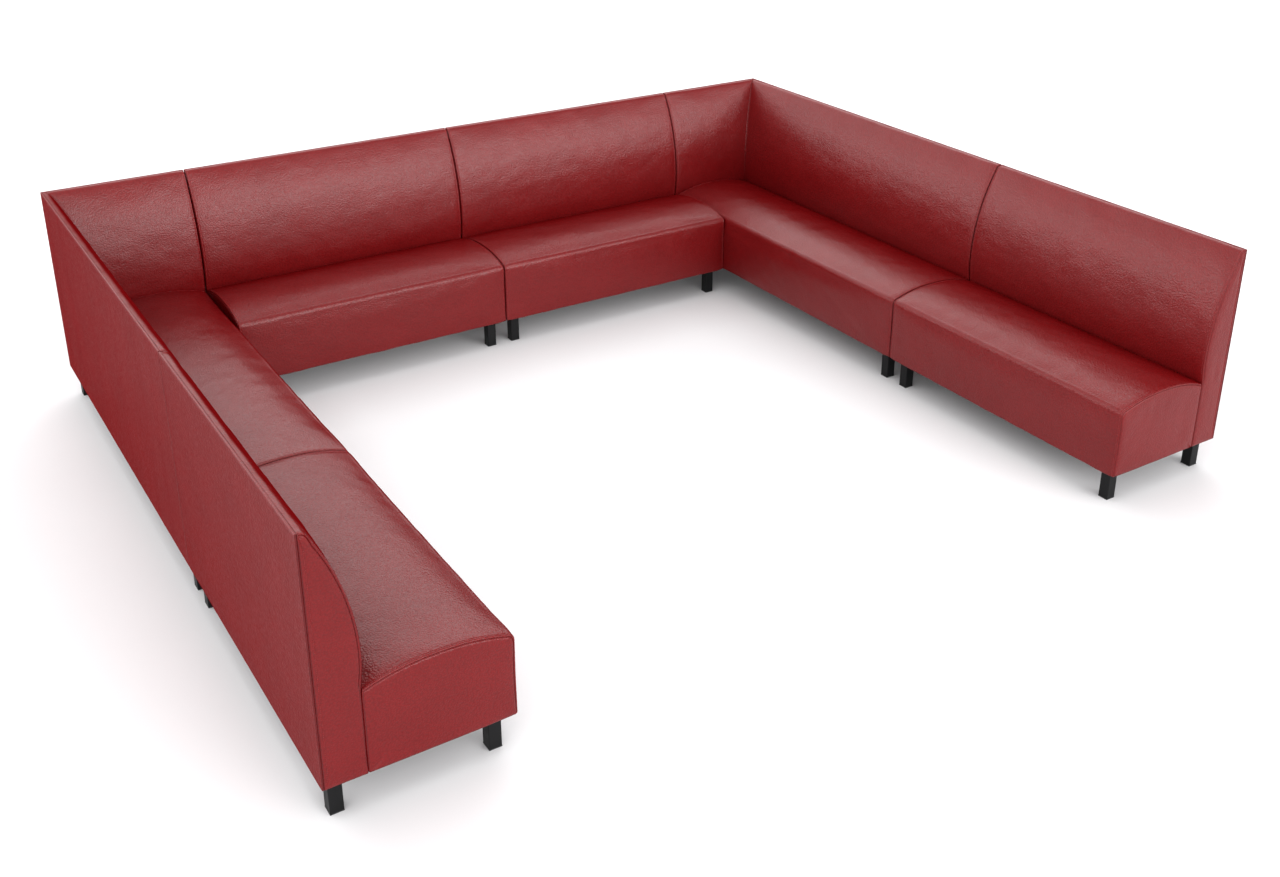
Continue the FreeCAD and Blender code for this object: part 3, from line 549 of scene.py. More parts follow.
def swell(form, outline, coarse_form, coarse_outline, moved):
    """Carries the coarse form's movement over to the fine one."""
    by_ring = curve_between(np.array(form.along), np.array(coarse_form.along), moved)
    places = line_places(coarse_outline)
    places = np.concatenate([places - 1, places, places + 1])
    by_point = np.moveaxis(np.concatenate([by_ring] * 3, axis=1), 1, 0)
    result = np.moveaxis(curve_between(line_places(outline), places, by_point), 0, 1)
    across = np.abs(np.array(form.across))
    free = np.clip((across - SEAM_HELD) / SEAM_FADE, 0, 1)[:, None, None]
    panel = np.where(np.array(form.across) > 0, PANEL_SWELL, 1.0)[:, None, None]
    for ring, change in zip(form.rings, result * free * panel):
        ring += change


# Forms

# The foot of a back's front, below the seat's level, is in this region of (depth, height).
FOOT_DEPTH, FOOT_HEIGHT = 0.13, 0.425
# The cloth is held there, and a little further up, where the seat presses on the back.
HELD_HEIGHT = 0.44
# How far apart an outline's points are where they show, and where they are hidden
SEAT_SPACING = {True: (0.0075, 0.035), False: (0.026, 0.045)}
BACK_SPACING = {True: (0.0085, 0.035), False: (0.028, 0.045)}
FOOT_SPACING = {True: 0.020, False: 0.028}


def seat_spacing(fine):
    shown, hidden = SEAT_SPACING[fine]

    def spacing(depth, height):
        rear = depth < SEAT_REAR + 0.001 and height < 0.39
        return hidden if rear or height < UNDERSIDE + 0.003 else shown

    return spacing


def back_spacing(fine):
    shown, hidden = BACK_SPACING[fine]

    def spacing(depth, height):
        if height < UNDERSIDE + 0.003 or depth < PANEL + 0.0005:
            return hidden
        return FOOT_SPACING[fine] if depth > FOOT_DEPTH and height < 0.40 else shown

    return spacing


# How far the ends' edges are rounded: where they show, where the seat and the back meet, along
# the back's rear, and underneath
EDGE_ROUNDING, TUCKED_ROUNDING, REAR_ROUNDING, FOOT_ROUNDING = 8 * MM, 6 * MM, 3.5 * MM, 2 * MM


def seat_edges(outline):
    """The edges of a seat's ends, as end_rings takes them."""
    rear = (outline[:, 0] < SEAT_REAR + 0.004) & (outline[:, 1] < SEAT_EDGE - 0.005)
    # The seam runs on round the front edge's foot.
    under = (outline[:, 1] < UNDERSIDE + 0.006) & (outline[:, 0] < DEPTH - 0.012)
    radius = np.where(rear, TUCKED_ROUNDING, np.where(under, FOOT_ROUNDING, EDGE_ROUNDING))
    seamed = np.where(under | rear, 0.0, 1.0)
    return smooth_round(radius), smooth_round(seamed), np.zeros(len(outline))


def back_edges(outline):
    """The edges of a back's ends, as end_rings takes them."""
    low = (outline[:, 0] > FOOT_DEPTH) & (outline[:, 1] < FOOT_HEIGHT)
    under = outline[:, 1] < UNDERSIDE + 0.006
    rear = outline[:, 0] < PANEL + 0.004
    radius = np.where(low, TUCKED_ROUNDING, EDGE_ROUNDING)
    radius = np.where(under, FOOT_ROUNDING, np.where(rear, REAR_ROUNDING, radius))
    seamed = np.where(under | rear | low, 0.0, 1.0)
    bordered = np.where(rear & ~under, 1.0, 0.0)
    return smooth_round(radius), smooth_round(seamed), smooth_round(bordered)


def smooth_round(values):
    """Values round a closed line, evened out over their neighbours."""
    for _ in range(4):
        values = (np.roll(values, 1) + 2 * values + np.roll(values, -1)) / 4
    return values


# How far apart the plain rings are
FINE_PITCH, COARSE_PITCH = 0.020, 0.045


def padding_of(kind, low, high, fine):
    """A seat or a back, straight or round a corner, as a fine form or as a coarse one."""
    if kind == "seat":
        outline, spine = seat_outline(seat_spacing(fine)), SEAT_SPINE
        edges = seat_edges(outline)
    else:
        outline, spine = back_outline(back_spacing(fine)), BACK_SPINE
        edges = back_edges(outline)
    seam_places, shares = (FINE_SEAM, FINE_PANEL) if fine else (COARSE_SEAM, COARSE_PANEL)
    pitch = FINE_PITCH if fine else COARSE_PITCH
    if kind == "corner back":
        form = corner_padding(outline, spine, high, edges, seam_places, shares, pitch, fine)
    else:
        form = straight_padding(outline, spine, low, high, edges, seam_places, shares, pitch)
    return form, outline


def held_points(kind, form, outline):
    """Which points of a coarse form stay put: its seams, its underside and its hidden rear."""
    across = np.abs(np.array(form.across))
    seams = across[:, None] <= 5.0
    if kind == "seat":
        hidden = (outline[:, 1] < UNDERSIDE + 0.02) | (outline[:, 0] < SEAT_REAR + 0.012)
    else:
        hidden = (outline[:, 1] < UNDERSIDE + 0.02) | (outline[:, 0] < PANEL + 0.002)
        hidden |= (outline[:, 0] > FOOT_DEPTH) & (outline[:, 1] < HELD_HEIGHT)
    return seams | hidden[None, :]


SWELL_CAP = 5 * MM


def padded_form(kind, low, high):
    form, outline = padding_of(kind, low, high, True)
    coarse, coarse_outline = padding_of(kind, low, high, False)
    held = held_points(kind, coarse, coarse_outline)
    moved = blown_up(coarse, coarse_outline, held, SWELL_CAP)
    swell(form, outline, coarse, coarse_outline, moved)
    return form, outline


# So many waves cross in a random field, and together they are about this high.
WAVES, WAVES_HEIGHT = 18, 4.2


def soft_field(places, wavelength, seed, stretch=(1, 1, 1)):
    """A smooth random field about one high, with humps about a wavelength apart."""
    numbers = np.random.default_rng(seed)
    total = np.zeros(len(places))
    scaled = places / np.array(stretch)
    for _ in range(WAVES):
        heading = numbers.normal(size=3)
        heading /= np.linalg.norm(heading)
        wave = 2 * np.pi / (wavelength * numbers.uniform(0.75, 1.35))
        total += np.sin(scaled @ heading * wave + numbers.uniform(0, 2 * np.pi))
    return total / WAVES_HEIGHT


def to_world(places, module):
    """Places in a module's own frame, carried to where the module stands."""
    _, _, (x, y), turn, _ = module
    angle = math.radians(turn)
    cos, sin = round(math.cos(angle)), round(math.sin(angle))
    return np.column_stack([
        x + cos * places[:, 0] - sin * places[:, 1],
        y + sin * places[:, 0] + cos * places[:, 1],
        places[:, 2],
    ])


# Materials

def colour(code):
    """A linear colour from an sRGB hex value."""
    parts = [int(code[index:index + 2], 16) / 255 for index in (1, 3, 5)]
    return [part / 12.92 if part <= 0.04045 else ((part + 0.055) / 1.055) ** 2.4
            for part in parts] + [1.0]


def add(tree, kind, inputs=None, **settings):
    """A node with its settings, its input values and the sockets that lead into it.

    A list of sockets leads into one input.
    """
    made = tree.nodes.new(kind)
    for name, value in settings.items():
        setattr(made, name, value)
    for name, value in (inputs or {}).items():
        socket = made.inputs[name]
        sources = value if isinstance(value, list) else [value]
        if isinstance(sources[0], bpy.types.NodeSocket):
            for source in sources:
                tree.links.new(source, socket)
        else:
            socket.default_value = value
    return made


def new_material(name):
    """An empty material, its tree, and the place on the piece that its patterns follow."""
    material = bpy.data.materials.new(name)
    material.use_nodes = True
    tree = material.node_tree
    tree.nodes.clear()
    return material, tree, add(tree, "ShaderNodeTexCoord").outputs["Object"]


def leatherette_material():
    """Leatherette: polyurethane rolled on to a knitted backing and embossed with a fine pebble.

    It looks like a satin, evenly dyed hide: small domes with narrow valleys, a soft broad
    highlight, and slow changes of tone where it is pulled over the padding. The valleys between
    the pebbles and the seam grooves are painted darker, as painted shade.
    """
    material, tree, place = new_material("Embossed leatherette")
    # The pebbles run together into worm-like cells about 6 mm long, as the photograph shows
    # them. Those of a real embossing roll are finer, but would not show from afar.
    shifts = add(tree, "ShaderNodeTexNoise", {
        "Vector": place, "Scale": 1 / 0.012, "Detail": 1.0}).outputs["Color"]
    shifts = add(tree, "ShaderNodeVectorMath", {
        0: shifts, 1: (0.005, 0.005, 0.005)}, operation="MULTIPLY").outputs["Vector"]
    warped = add(tree, "ShaderNodeVectorMath", {0: place, 1: shifts}).outputs["Vector"]
    pebbles = add(tree, "ShaderNodeTexVoronoi", {
        "Vector": warped, "Scale": 1 / 0.0062, "Randomness": 1.0, "Smoothness": 0.3,
    }, feature="SMOOTH_F1").outputs["Distance"]
    # Pores 3.4 mm apart, creases 16 mm, pulls over the padding 85 mm and tones of the dye 210 mm
    pores, creases, pulls, tone = [
        add(tree, "ShaderNodeTexNoise", {
            "Vector": place, "Scale": 1 / size, "Detail": detail, "Roughness": roughness,
            "Distortion": distortion}).outputs["Fac"]
        for size, detail, roughness, distortion in (
            (0.0034, 2.0, 0.6, 0.0), (0.016, 3.0, 0.55, 0.6),
            (0.085, 2.0, 0.5, 0.3), (0.21, 3.0, 0.55, 0.0),
        )
    ]
    # Folds that run away from a seam for 42 mm on the wrap, and less far on an end panel: about
    # 11 mm apart, and 65 mm long
    across = add(tree, "ShaderNodeAttribute", attribute_name="seam_place").outputs["Fac"]
    distance = add(tree, "ShaderNodeMath", {0: across}, operation="ABSOLUTE").outputs[0]
    on_panel = add(tree, "ShaderNodeMath", {0: across, 1: 2.5}, operation="MULTIPLY").outputs[0]
    spread = add(tree, "ShaderNodeMath", {0: distance, 1: on_panel}, operation="MAXIMUM").outputs[0]
    near = add(tree, "ShaderNodeMapRange", {
        "Value": spread, "From Min": 4.0, "From Max": 42.0, "To Min": 1.0, "To Max": 0.0,
    }, interpolation_type="SMOOTHSTEP").outputs["Result"]
    hide_map = add(tree, "ShaderNodeUVMap", uv_map="hide_map").outputs["UV"]
    stretched = add(tree, "ShaderNodeMapping", {
        "Vector": hide_map, "Scale": (1 / 0.011, 1 / 0.065, 1.0)}).outputs["Vector"]
    folds = add(tree, "ShaderNodeTexNoise", {
        "Vector": stretched, "Scale": 1.0, "Detail": 2.0, "Roughness": 0.5})
    fold_height = add(tree, "ShaderNodeMath", {
        0: folds.outputs["Fac"], 1: near}, operation="MULTIPLY").outputs[0]
    # The relief, from the broadest to the finest: its height, strength and depth, and whether
    # it is sunk, as the valleys between the pebbles are
    relief = {}
    for height, strength, depth, sunk in (
        (pulls, 0.35, 0.003, False),
        (creases, 0.30, 0.0013, False),
        (fold_height, 0.5, 0.0016, False),
        (pebbles, 0.8, 0.0011, True),
        (pores, 0.4, 0.0003, False),
    ):
        bump = add(tree, "ShaderNodeBump", {
            "Height": height, "Strength": strength, "Distance": depth, **relief}, invert=sunk)
        relief = {"Normal": bump.outputs["Normal"]}
    shade = add(tree, "ShaderNodeMix", {
        "Factor": tone, "A": colour("#650A0D"), "B": colour("#730E11"),
    }, data_type="RGBA")
    # Painted shade: the valleys between the pebbles are darkened towards #4E0709, standing in for
    # the shade that falls in them.
    painted_valley_shade = add(tree, "ShaderNodeMapRange", {
        "Value": pebbles, "From Min": 0.25, "From Max": 0.75,
        "To Min": 0.0, "To Max": 0.42})
    toned_with_valley_shade = add(tree, "ShaderNodeMix", {
        "Factor": painted_valley_shade.outputs["Result"], "A": shade.outputs["Result"], "B": colour("#4E0709"),
    }, data_type="RGBA")
    # Painted shade: within 1.6 mm of a seam's middle the colour is darkened towards #3A0406,
    # standing in for the shade in the seam groove.
    seam_groove_shade_mask = add(tree, "ShaderNodeMapRange", {
        "Value": distance, "From Min": 0.3, "From Max": 1.6, "To Min": 0.75, "To Max": 0.0})
    seam_groove_shade_painted = add(tree, "ShaderNodeMix", {
        "Factor": seam_groove_shade_mask.outputs["Result"], "A": toned_with_valley_shade.outputs["Result"], "B": colour("#3A0406"),
    }, data_type="RGBA")
    gloss = add(tree, "ShaderNodeMapRange", {
        "Value": creases, "From Min": 0.3, "From Max": 0.7, "To Min": 0.29, "To Max": 0.38})
    # Seen at a slant, the pebbles hide each other's sides, and the hide loses its mirror there.
    slant = add(tree, "ShaderNodeLayerWeight", {"Blend": 0.5}).outputs["Facing"]
    facing = add(tree, "ShaderNodeMapRange", {
        "Value": slant, "From Min": 0.62, "From Max": 0.94, "To Min": 1.0, "To Max": 0.0})
    easing = add(tree, "ShaderNodeMath", {
        0: facing.outputs["Result"], 1: 4.0}, operation="POWER").outputs[0]
    mirror = add(tree, "ShaderNodeMath", {0: easing, 1: 0.38}, operation="MULTIPLY").outputs[0]
    leather = add(tree, "ShaderNodeBsdfPrincipled", {
        "Base Color": seam_groove_shade_painted.outputs["Result"], "Roughness": gloss.outputs["Result"],
        "IOR": 1.5, "Specular IOR Level": mirror, **relief})
    add(tree, "ShaderNodeOutputMaterial", {"Surface": leather.outputs["BSDF"]})
    return material


def thread_material():
    """Polyester topstitching thread: three plies twisted, dyed to the hide's red."""
    material, tree, place = new_material("Polyester thread")
    # Plies 0.35 mm apart
    plies = add(tree, "ShaderNodeTexWave", {
        "Vector": place, "Scale": 1 / 0.00035 / (2 * math.pi), "Distortion": 1.0,
    }, bands_direction="DIAGONAL")
    shade = add(tree, "ShaderNodeMix", {
        "Factor": plies.outputs["Fac"], "A": colour("#8E1A1D"), "B": colour("#B23A3C"),
    }, data_type="RGBA")
    bump = add(tree, "ShaderNodeBump", {
        "Height": plies.outputs["Fac"], "Strength": 0.3, "Distance": 0.0002})
    thread = add(tree, "ShaderNodeBsdfPrincipled", {
        "Base Color": shade.outputs["Result"], "Roughness": 0.55, "IOR": 1.5,
        "Sheen Weight": 0.2, "Normal": bump.outputs["Normal"]})
    add(tree, "ShaderNodeOutputMaterial", {"Surface": thread.outputs["BSDF"]})
    return material


def powder_coat_material():
    """Black powder coat, sprayed dry on steel tube and baked: satin, with a faint orange peel."""
    material, tree, place = new_material("Black powder coat")
    # Orange peel about 1.2 mm across
    peel = add(tree, "ShaderNodeTexNoise", {
        "Vector": place, "Scale": 1 / 0.0012, "Detail": 2.0, "Roughness": 0.5})
    scuffs = add(tree, "ShaderNodeTexNoise", {
        "Vector": place, "Scale": 1 / 0.03, "Detail": 4.0, "Roughness": 0.6})
    bump = add(tree, "ShaderNodeBump", {
        "Height": peel.outputs["Fac"], "Strength": 0.25, "Distance": 0.0002})
    shade = add(tree, "ShaderNodeMix", {
        "Factor": scuffs.outputs["Fac"], "A": colour("#0F0F10"), "B": colour("#19191A"),
    }, data_type="RGBA")
    gloss = add(tree, "ShaderNodeMapRange", {
        "Value": scuffs.outputs["Fac"], "From Min": 0.3, "From Max": 0.7,
        "To Min": 0.42, "To Max": 0.56})
    coat = add(tree, "ShaderNodeBsdfPrincipled", {
        "Base Color": shade.outputs["Result"], "Roughness": gloss.outputs["Result"],
        "IOR": 1.45, "Specular IOR Level": 0.25, "Normal": bump.outputs["Normal"]})
    add(tree, "ShaderNodeOutputMaterial", {"Surface": coat.outputs["BSDF"]})
    return material


def glide_material():
    """Polyethylene, injection moulded: black, waxy and slightly rubbed."""
    material, tree, place = new_material("Moulded polyethylene")
    rub = add(tree, "ShaderNodeTexNoise", {
        "Vector": place, "Scale": 1 / 0.006, "Detail": 4.0, "Roughness": 0.6})
    shade = add(tree, "ShaderNodeMix", {
        "Factor": rub.outputs["Fac"], "A": colour("#121213"), "B": colour("#262628"),
    }, data_type="RGBA")
    bump = add(tree, "ShaderNodeBump", {
        "Height": rub.outputs["Fac"], "Strength": 0.2, "Distance": 0.0002})
    plastic = add(tree, "ShaderNodeBsdfPrincipled", {
        "Base Color": shade.outputs["Result"], "Roughness": 0.5, "IOR": 1.51,
        "Normal": bump.outputs["Normal"]})
    add(tree, "ShaderNodeOutputMaterial", {"Surface": plastic.outputs["BSDF"]})
    return material


def zinc_material():
    """Zinc-plated steel: cold-headed bolts and nuts, plated bright and passivated blue-white."""
    material, tree, place = new_material("Zinc-plated steel")
    # Spangle about 2 mm across
    spangle = add(tree, "ShaderNodeTexVoronoi", {"Vector": place, "Scale": 1 / 0.002})
    shade = add(tree, "ShaderNodeMix", {
        "Factor": spangle.outputs["Distance"], "A": colour("#B9BBBE"), "B": colour("#8F9296"),
    }, data_type="RGBA")
    gloss = add(tree, "ShaderNodeMapRange", {
        "Value": spangle.outputs["Distance"], "To Min": 0.28, "To Max": 0.45})
    metal = add(tree, "ShaderNodeBsdfPrincipled", {
        "Base Color": shade.outputs["Result"], "Roughness": gloss.outputs["Result"],
        "Metallic": 1.0})
    add(tree, "ShaderNodeOutputMaterial", {"Surface": metal.outputs["BSDF"]})
    return material


def timber_material():
    """Sawn pine and birch plywood: pale, straight grained, left raw inside the upholstery."""
    material, tree, place = new_material("Sawn pine")
    # Growth rings about 4 mm apart, drawn out 12 times as long along the grain
    grain_space = add(tree, "ShaderNodeMapping", {
        "Vector": place, "Scale": (1 / 0.05, 1 / 0.05, 1 / 0.004)}).outputs["Vector"]
    rings = add(tree, "ShaderNodeTexNoise", {
        "Vector": grain_space, "Scale": 1.0, "Detail": 4.0, "Roughness": 0.6, "Distortion": 0.4})
    shade = add(tree, "ShaderNodeMix", {
        "Factor": rings.outputs["Fac"], "A": colour("#D9B787"), "B": colour("#A87B4B"),
    }, data_type="RGBA")
    bump = add(tree, "ShaderNodeBump", {
        "Height": rings.outputs["Fac"], "Strength": 0.3, "Distance": 0.0004})
    wood = add(tree, "ShaderNodeBsdfPrincipled", {
        "Base Color": shade.outputs["Result"], "Roughness": 0.72, "IOR": 1.5,
        "Normal": bump.outputs["Normal"]})
    add(tree, "ShaderNodeOutputMaterial", {"Surface": wood.outputs["BSDF"]})
    return material


def webbing_material():
    """Elastic webbing: rubber threads covered in black polyester, woven plain."""
    material, tree, place = new_material("Woven elastic webbing")
    # Picks 1.8 mm apart both ways
    weave = add(tree, "ShaderNodeTexChecker", {
        "Vector": place, "Scale": 1 / 0.0018, "Color1": colour("#1B1B1D"),
        "Color2": colour("#303033")})
    bump = add(tree, "ShaderNodeBump", {
        "Height": weave.outputs["Fac"], "Strength": 0.4, "Distance": 0.0003})
    cloth = add(tree, "ShaderNodeBsdfPrincipled", {
        "Base Color": weave.outputs["Color"], "Roughness": 0.85, "IOR": 1.5,
        "Sheen Weight": 0.3, "Normal": bump.outputs["Normal"]})
    add(tree, "ShaderNodeOutputMaterial", {"Surface": cloth.outputs["BSDF"]})
    return material


def dust_cloth_material():
    """Spun-bonded polypropylene: matted black fibres, pressed with a grid of small dots."""
    material, tree, place = new_material("Spun-bonded dust cloth")
    # Bond dots 3 mm apart, over fibres that lie every way
    dots = add(tree, "ShaderNodeTexVoronoi", {
        "Vector": place, "Scale": 1 / 0.003, "Randomness": 0.0})
    fibres = add(tree, "ShaderNodeTexNoise", {
        "Vector": place, "Scale": 1 / 0.002, "Detail": 5.0, "Roughness": 0.7, "Distortion": 1.5})
    shade = add(tree, "ShaderNodeMix", {
        "Factor": fibres.outputs["Fac"], "A": colour("#141415"), "B": colour("#29292B"),
    }, data_type="RGBA")
    bump = add(tree, "ShaderNodeBump", {
        "Height": dots.outputs["Distance"], "Strength": 0.5, "Distance": 0.0003})
    bump = add(tree, "ShaderNodeBump", {
        "Height": fibres.outputs["Fac"], "Strength": 0.3, "Distance": 0.0003,
        "Normal": bump.outputs["Normal"]})
    cloth = add(tree, "ShaderNodeBsdfPrincipled", {
        "Base Color": shade.outputs["Result"], "Roughness": 0.9, "IOR": 1.5,
        "Sheen Weight": 0.2, "Normal": bump.outputs["Normal"]})
    add(tree, "ShaderNodeOutputMaterial", {"Surface": cloth.outputs["BSDF"]})
    return material


def floor_material():
    """Matt white studio board: rolled paint on a seamless sheet."""
    material, tree, place = new_material("White studio board")
    roll = add(tree, "ShaderNodeTexNoise", {"Vector": place, "Scale": 2.0, "Detail": 2.0})
    shade = add(tree, "ShaderNodeMix", {
        "Factor": roll.outputs["Fac"], "A": colour("#D2D1D2"), "B": colour("#D5D4D5"),
    }, data_type="RGBA")
    board = add(tree, "ShaderNodeBsdfPrincipled", {
        "Base Color": shade.outputs["Result"], "Roughness": 0.9, "Specular IOR Level": 0.2})
    add(tree, "ShaderNodeOutputMaterial", {"Surface": board.outputs["BSDF"]})
    return material


leatherette = leatherette_material()
thread = thread_material()
powder_coat = powder_coat_material()
glide_plastic = glide_material()
zinc = zinc_material()
timber = timber_material()
webbing = webbing_material()
dust_cloth = dust_cloth_material()


def finish_piece(piece, slot, material, *nodes):
    """Gives a finished piece its material, and hides the solids that it stands for."""
    if not piece.data.materials:
        piece.data.materials.append(material)
    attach(piece, "root")
    if nodes:
        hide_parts(*nodes)


# Upholstery

# Humps in the stretched hide: how far apart they are, and how much of the unevenness they make
BROAD_HUMPS, NARROW_HUMPS = (0.16, 0.65), (0.06, 0.35)
# They fade towards a seam, between these distances from it in millimetres.
HUMPS_END, HUMPS_FADE = 6, 30
# Past this place across the seam, in millimetres, a ring lies on the end panel.
ON_PANEL = 5
# How far the end panel of a free end stands out, and over how many millimetres it gets there
FREE_END_BULGE, FREE_END_REACH = 3.2 * MM, 14


def upholster(name, form, outline, module, seed, wander, mirrored=False, free_end=0):
    """A cover's object: its form, a little uneven as stretched hide is, where the module stands.

    The end panel at a free end, 1 for the high end of X and -1 for the low one, stands out.
    """
    mesh = mesh_from(name, form, outline, mirrored)
    places, out = coordinates(mesh), normals(mesh)
    by_ring = np.array(form.across, float)
    across = np.repeat(by_ring, len(outline))
    free = np.clip((np.abs(across) - HUMPS_END) / HUMPS_FADE, 0, 1)
    (broad, broad_share), (narrow, narrow_share) = BROAD_HUMPS, NARROW_HUMPS
    uneven = wander * (
        broad_share * soft_field(places, broad, seed)
        + narrow_share * soft_field(places, narrow, seed + 100))
    # An end panel's points, which crowd at its middle, all move straight out, and by as much
    # as each other in the middle, so that one flat face closes it.
    panels = by_ring > ON_PANEL
    out = out.reshape(len(form.rings), -1, 3)
    straight_out = out[panels].mean(axis=1, keepdims=True)
    out[panels] = straight_out / np.linalg.norm(straight_out, axis=2, keepdims=True)
    out = out.reshape(-1, 3)
    uneven = uneven.reshape(len(form.rings), -1)
    edge = FINE_SEAM[-1]
    alike = np.clip((by_ring - edge) / (by_ring.max() - edge), 0, 1)[:, None] ** 2
    uneven = (uneven + alike * (uneven.mean(axis=1, keepdims=True) - uneven)).ravel()
    places = places + out * (uneven * free)[:, None]
    bulge = FREE_END_BULGE * (1 - np.exp(-np.clip(across, 0, None) / FREE_END_REACH))
    at_end = np.sign(places[:, 0]) == np.sign(free_end)
    places[:, 0] += free_end * bulge * at_end
    set_coordinates(mesh, to_world(places, module))
    return show(name, mesh)


# Each module of a kind is cut from the same master form.
straight_seat = padded_form("seat", -HALF_LENGTH, HALF_LENGTH)
straight_back = padded_form("back", -HALF_LENGTH, HALF_LENGTH)
corner_seat = padded_form("seat", 0.0, CORNER_SEAT_END)
corner_back = padded_form("corner back", 0.0, CORNER_LENGTH)

PANEL_SPACING = 0.016
panel_line = panel_outline(lambda depth, height: PANEL_SPACING)
PANEL_RINGS = [-60, -30, -14, -7, -4.4, -3.2, -2, -1, 0]
PANEL_ROUNDING = 2.4 * MM


def outer_panel_form(low, high):
    """A thin wadded panel from low to high, with narrow rounded ends."""
    plain = np.zeros(len(panel_line))
    edges = (plain + PANEL_ROUNDING, plain, plain)
    return straight_padding(
        panel_line, PANEL_SPINE, low, high, edges, PANEL_RINGS, [0.6], FINE_PITCH)


def outer_panel_forms(turns_corner):
    """A module's outer panel, and on a corner module the return's too."""
    if not turns_corner:
        return [outer_panel_form(-HALF_LENGTH, HALF_LENGTH)]
    turned = outer_panel_form(PANEL, DEPTH)
    turned.rings = [
        np.column_stack([CORNER_LENGTH - ring[:, 1], ring[:, 0], ring[:, 2]])
        for ring in turned.rings
    ]
    return [outer_panel_form(0.0, CORNER_LENGTH), turned]


# The thread's middle lies this far above the leatherette.
THREAD_LIFT = 0.25 * MM
# No stitching is seen in a seat's lower rear, up to this depth and height, or this far up from
# the underside. What lies this little in front of the outer panel is sewn as the panel is.
HIDDEN_DEPTH, HIDDEN_HEIGHT = 0.150, 0.43
FOOT_BAND, REAR_BAND = 0.012, 0.004


def stitch_lines_of(mesh, form, outline):
    """The lines that a cover's topstitching follows, with the way the surface faces."""
    around = len(outline)
    places, out = coordinates(mesh), normals(mesh)
    low_rear = (outline[:, 0] < HIDDEN_DEPTH) & (outline[:, 1] < HIDDEN_HEIGHT)
    low = outline[:, 1] < UNDERSIDE + FOOT_BAND
    rear = outline[:, 0] < PANEL + REAR_BAND
    sewn = np.flatnonzero(~(low_rear | low | rear))
    behind = np.flatnonzero(rear & ~low)
    lines = []
    for ring, across in enumerate(form.across):
        for line, part in ((STITCH_LINE, sewn), (PANEL_STITCH_LINE, behind)):
            if across == line and len(part) > 1:
                spots = ring * around + part
                lines.append((places[spots] + out[spots] * THREAD_LIFT, out[spots]))
    return lines


# What repeats: stitches, legs and staples, made with geometry nodes

def new_tree(name, sizes):
    """A geometry tree with an input for its base, each size and its material."""
    tree = bpy.data.node_groups.new(name, "GeometryNodeTree")
    tree.interface.new_socket("Geometry", in_out="INPUT", socket_type="NodeSocketGeometry")
    for size in sizes:
        tree.interface.new_socket(size, in_out="INPUT", socket_type="NodeSocketFloat")
    tree.interface.new_socket("Material", in_out="INPUT", socket_type="NodeSocketMaterial")
    tree.interface.new_socket("Geometry", in_out="OUTPUT", socket_type="NodeSocketGeometry")
    given = tree.nodes.new("NodeGroupInput")
    return tree, given.outputs


def end_tree(tree, given, instances, smooth=True):
    """Ends a tree: its instances are made real, shaded, and given their material."""
    realised = add(tree, "GeometryNodeRealizeInstances", {"Geometry": instances})
    shaded = add(tree, "GeometryNodeSetShadeSmooth", {
        "Geometry": realised.outputs["Geometry"], "Shade Smooth": smooth})
    coated = add(tree, "GeometryNodeSetMaterial", {
        "Geometry": shaded.outputs["Geometry"], "Material": given["Material"]})
    add(tree, "NodeGroupOutput", {"Geometry": coated.outputs["Geometry"]})
    return tree


def along_lines(tree, given):
    """Points a pitch apart along the lines, and a turn that lays X along them and Z outwards."""
    curve = add(tree, "GeometryNodeMeshToCurve", {"Mesh": given["Geometry"]})
    points = add(tree, "GeometryNodeResampleCurve", {
        "Curve": curve.outputs["Curve"], "Length": given["Pitch"]}, mode="LENGTH")
    tangent = add(tree, "GeometryNodeInputTangent")
    facing = add(tree, "GeometryNodeInputNamedAttribute", {"Name": "facing"},
                 data_type="FLOAT_VECTOR")
    along = add(tree, "FunctionNodeAlignRotationToVector", {
        "Vector": tangent.outputs["Tangent"]}, axis="X")
    upright = add(tree, "FunctionNodeAlignRotationToVector", {
        "Rotation": along.outputs["Rotation"], "Vector": facing.outputs["Attribute"],
    }, axis="Z", pivot_axis="X")
    return points.outputs["Curve"], upright.outputs["Rotation"]


def stitch_tree():
    """Short stitches of round thread, end to end along a seam."""
    tree, given = new_tree("topstitching", ["Pitch", "Stitch length", "Thread"])
    points, turn = along_lines(tree, given)
    bead = add(tree, "GeometryNodeMeshUVSphere", {"Segments": 6, "Rings": 4, "Radius": 0.5})
    size = add(tree, "ShaderNodeCombineXYZ", {
        "X": given["Stitch length"], "Y": given["Thread"], "Z": given["Thread"]})
    stitch = add(tree, "GeometryNodeTransform", {
        "Geometry": bead.outputs["Mesh"], "Scale": size.outputs["Vector"]})
    placed = add(tree, "GeometryNodeInstanceOnPoints", {
        "Points": points, "Instance": stitch.outputs["Geometry"], "Rotation": turn})
    return end_tree(tree, given, placed.outputs["Instances"])


def staple_tree():
    """The flat crowns of staples, square to the cloth's edge line."""
    tree, given = new_tree("staples", ["Pitch", "Crown", "Wire"])
    points, turn = along_lines(tree, given)
    size = add(tree, "ShaderNodeCombineXYZ", {
        "X": given["Crown"], "Y": given["Wire"], "Z": given["Wire"]})
    wire = add(tree, "GeometryNodeMeshCube", {"Size": size.outputs["Vector"]})
    placed = add(tree, "GeometryNodeInstanceOnPoints", {
        "Points": points, "Instance": wire.outputs["Mesh"], "Rotation": turn})
    return end_tree(tree, given, placed.outputs["Instances"], smooth=False)


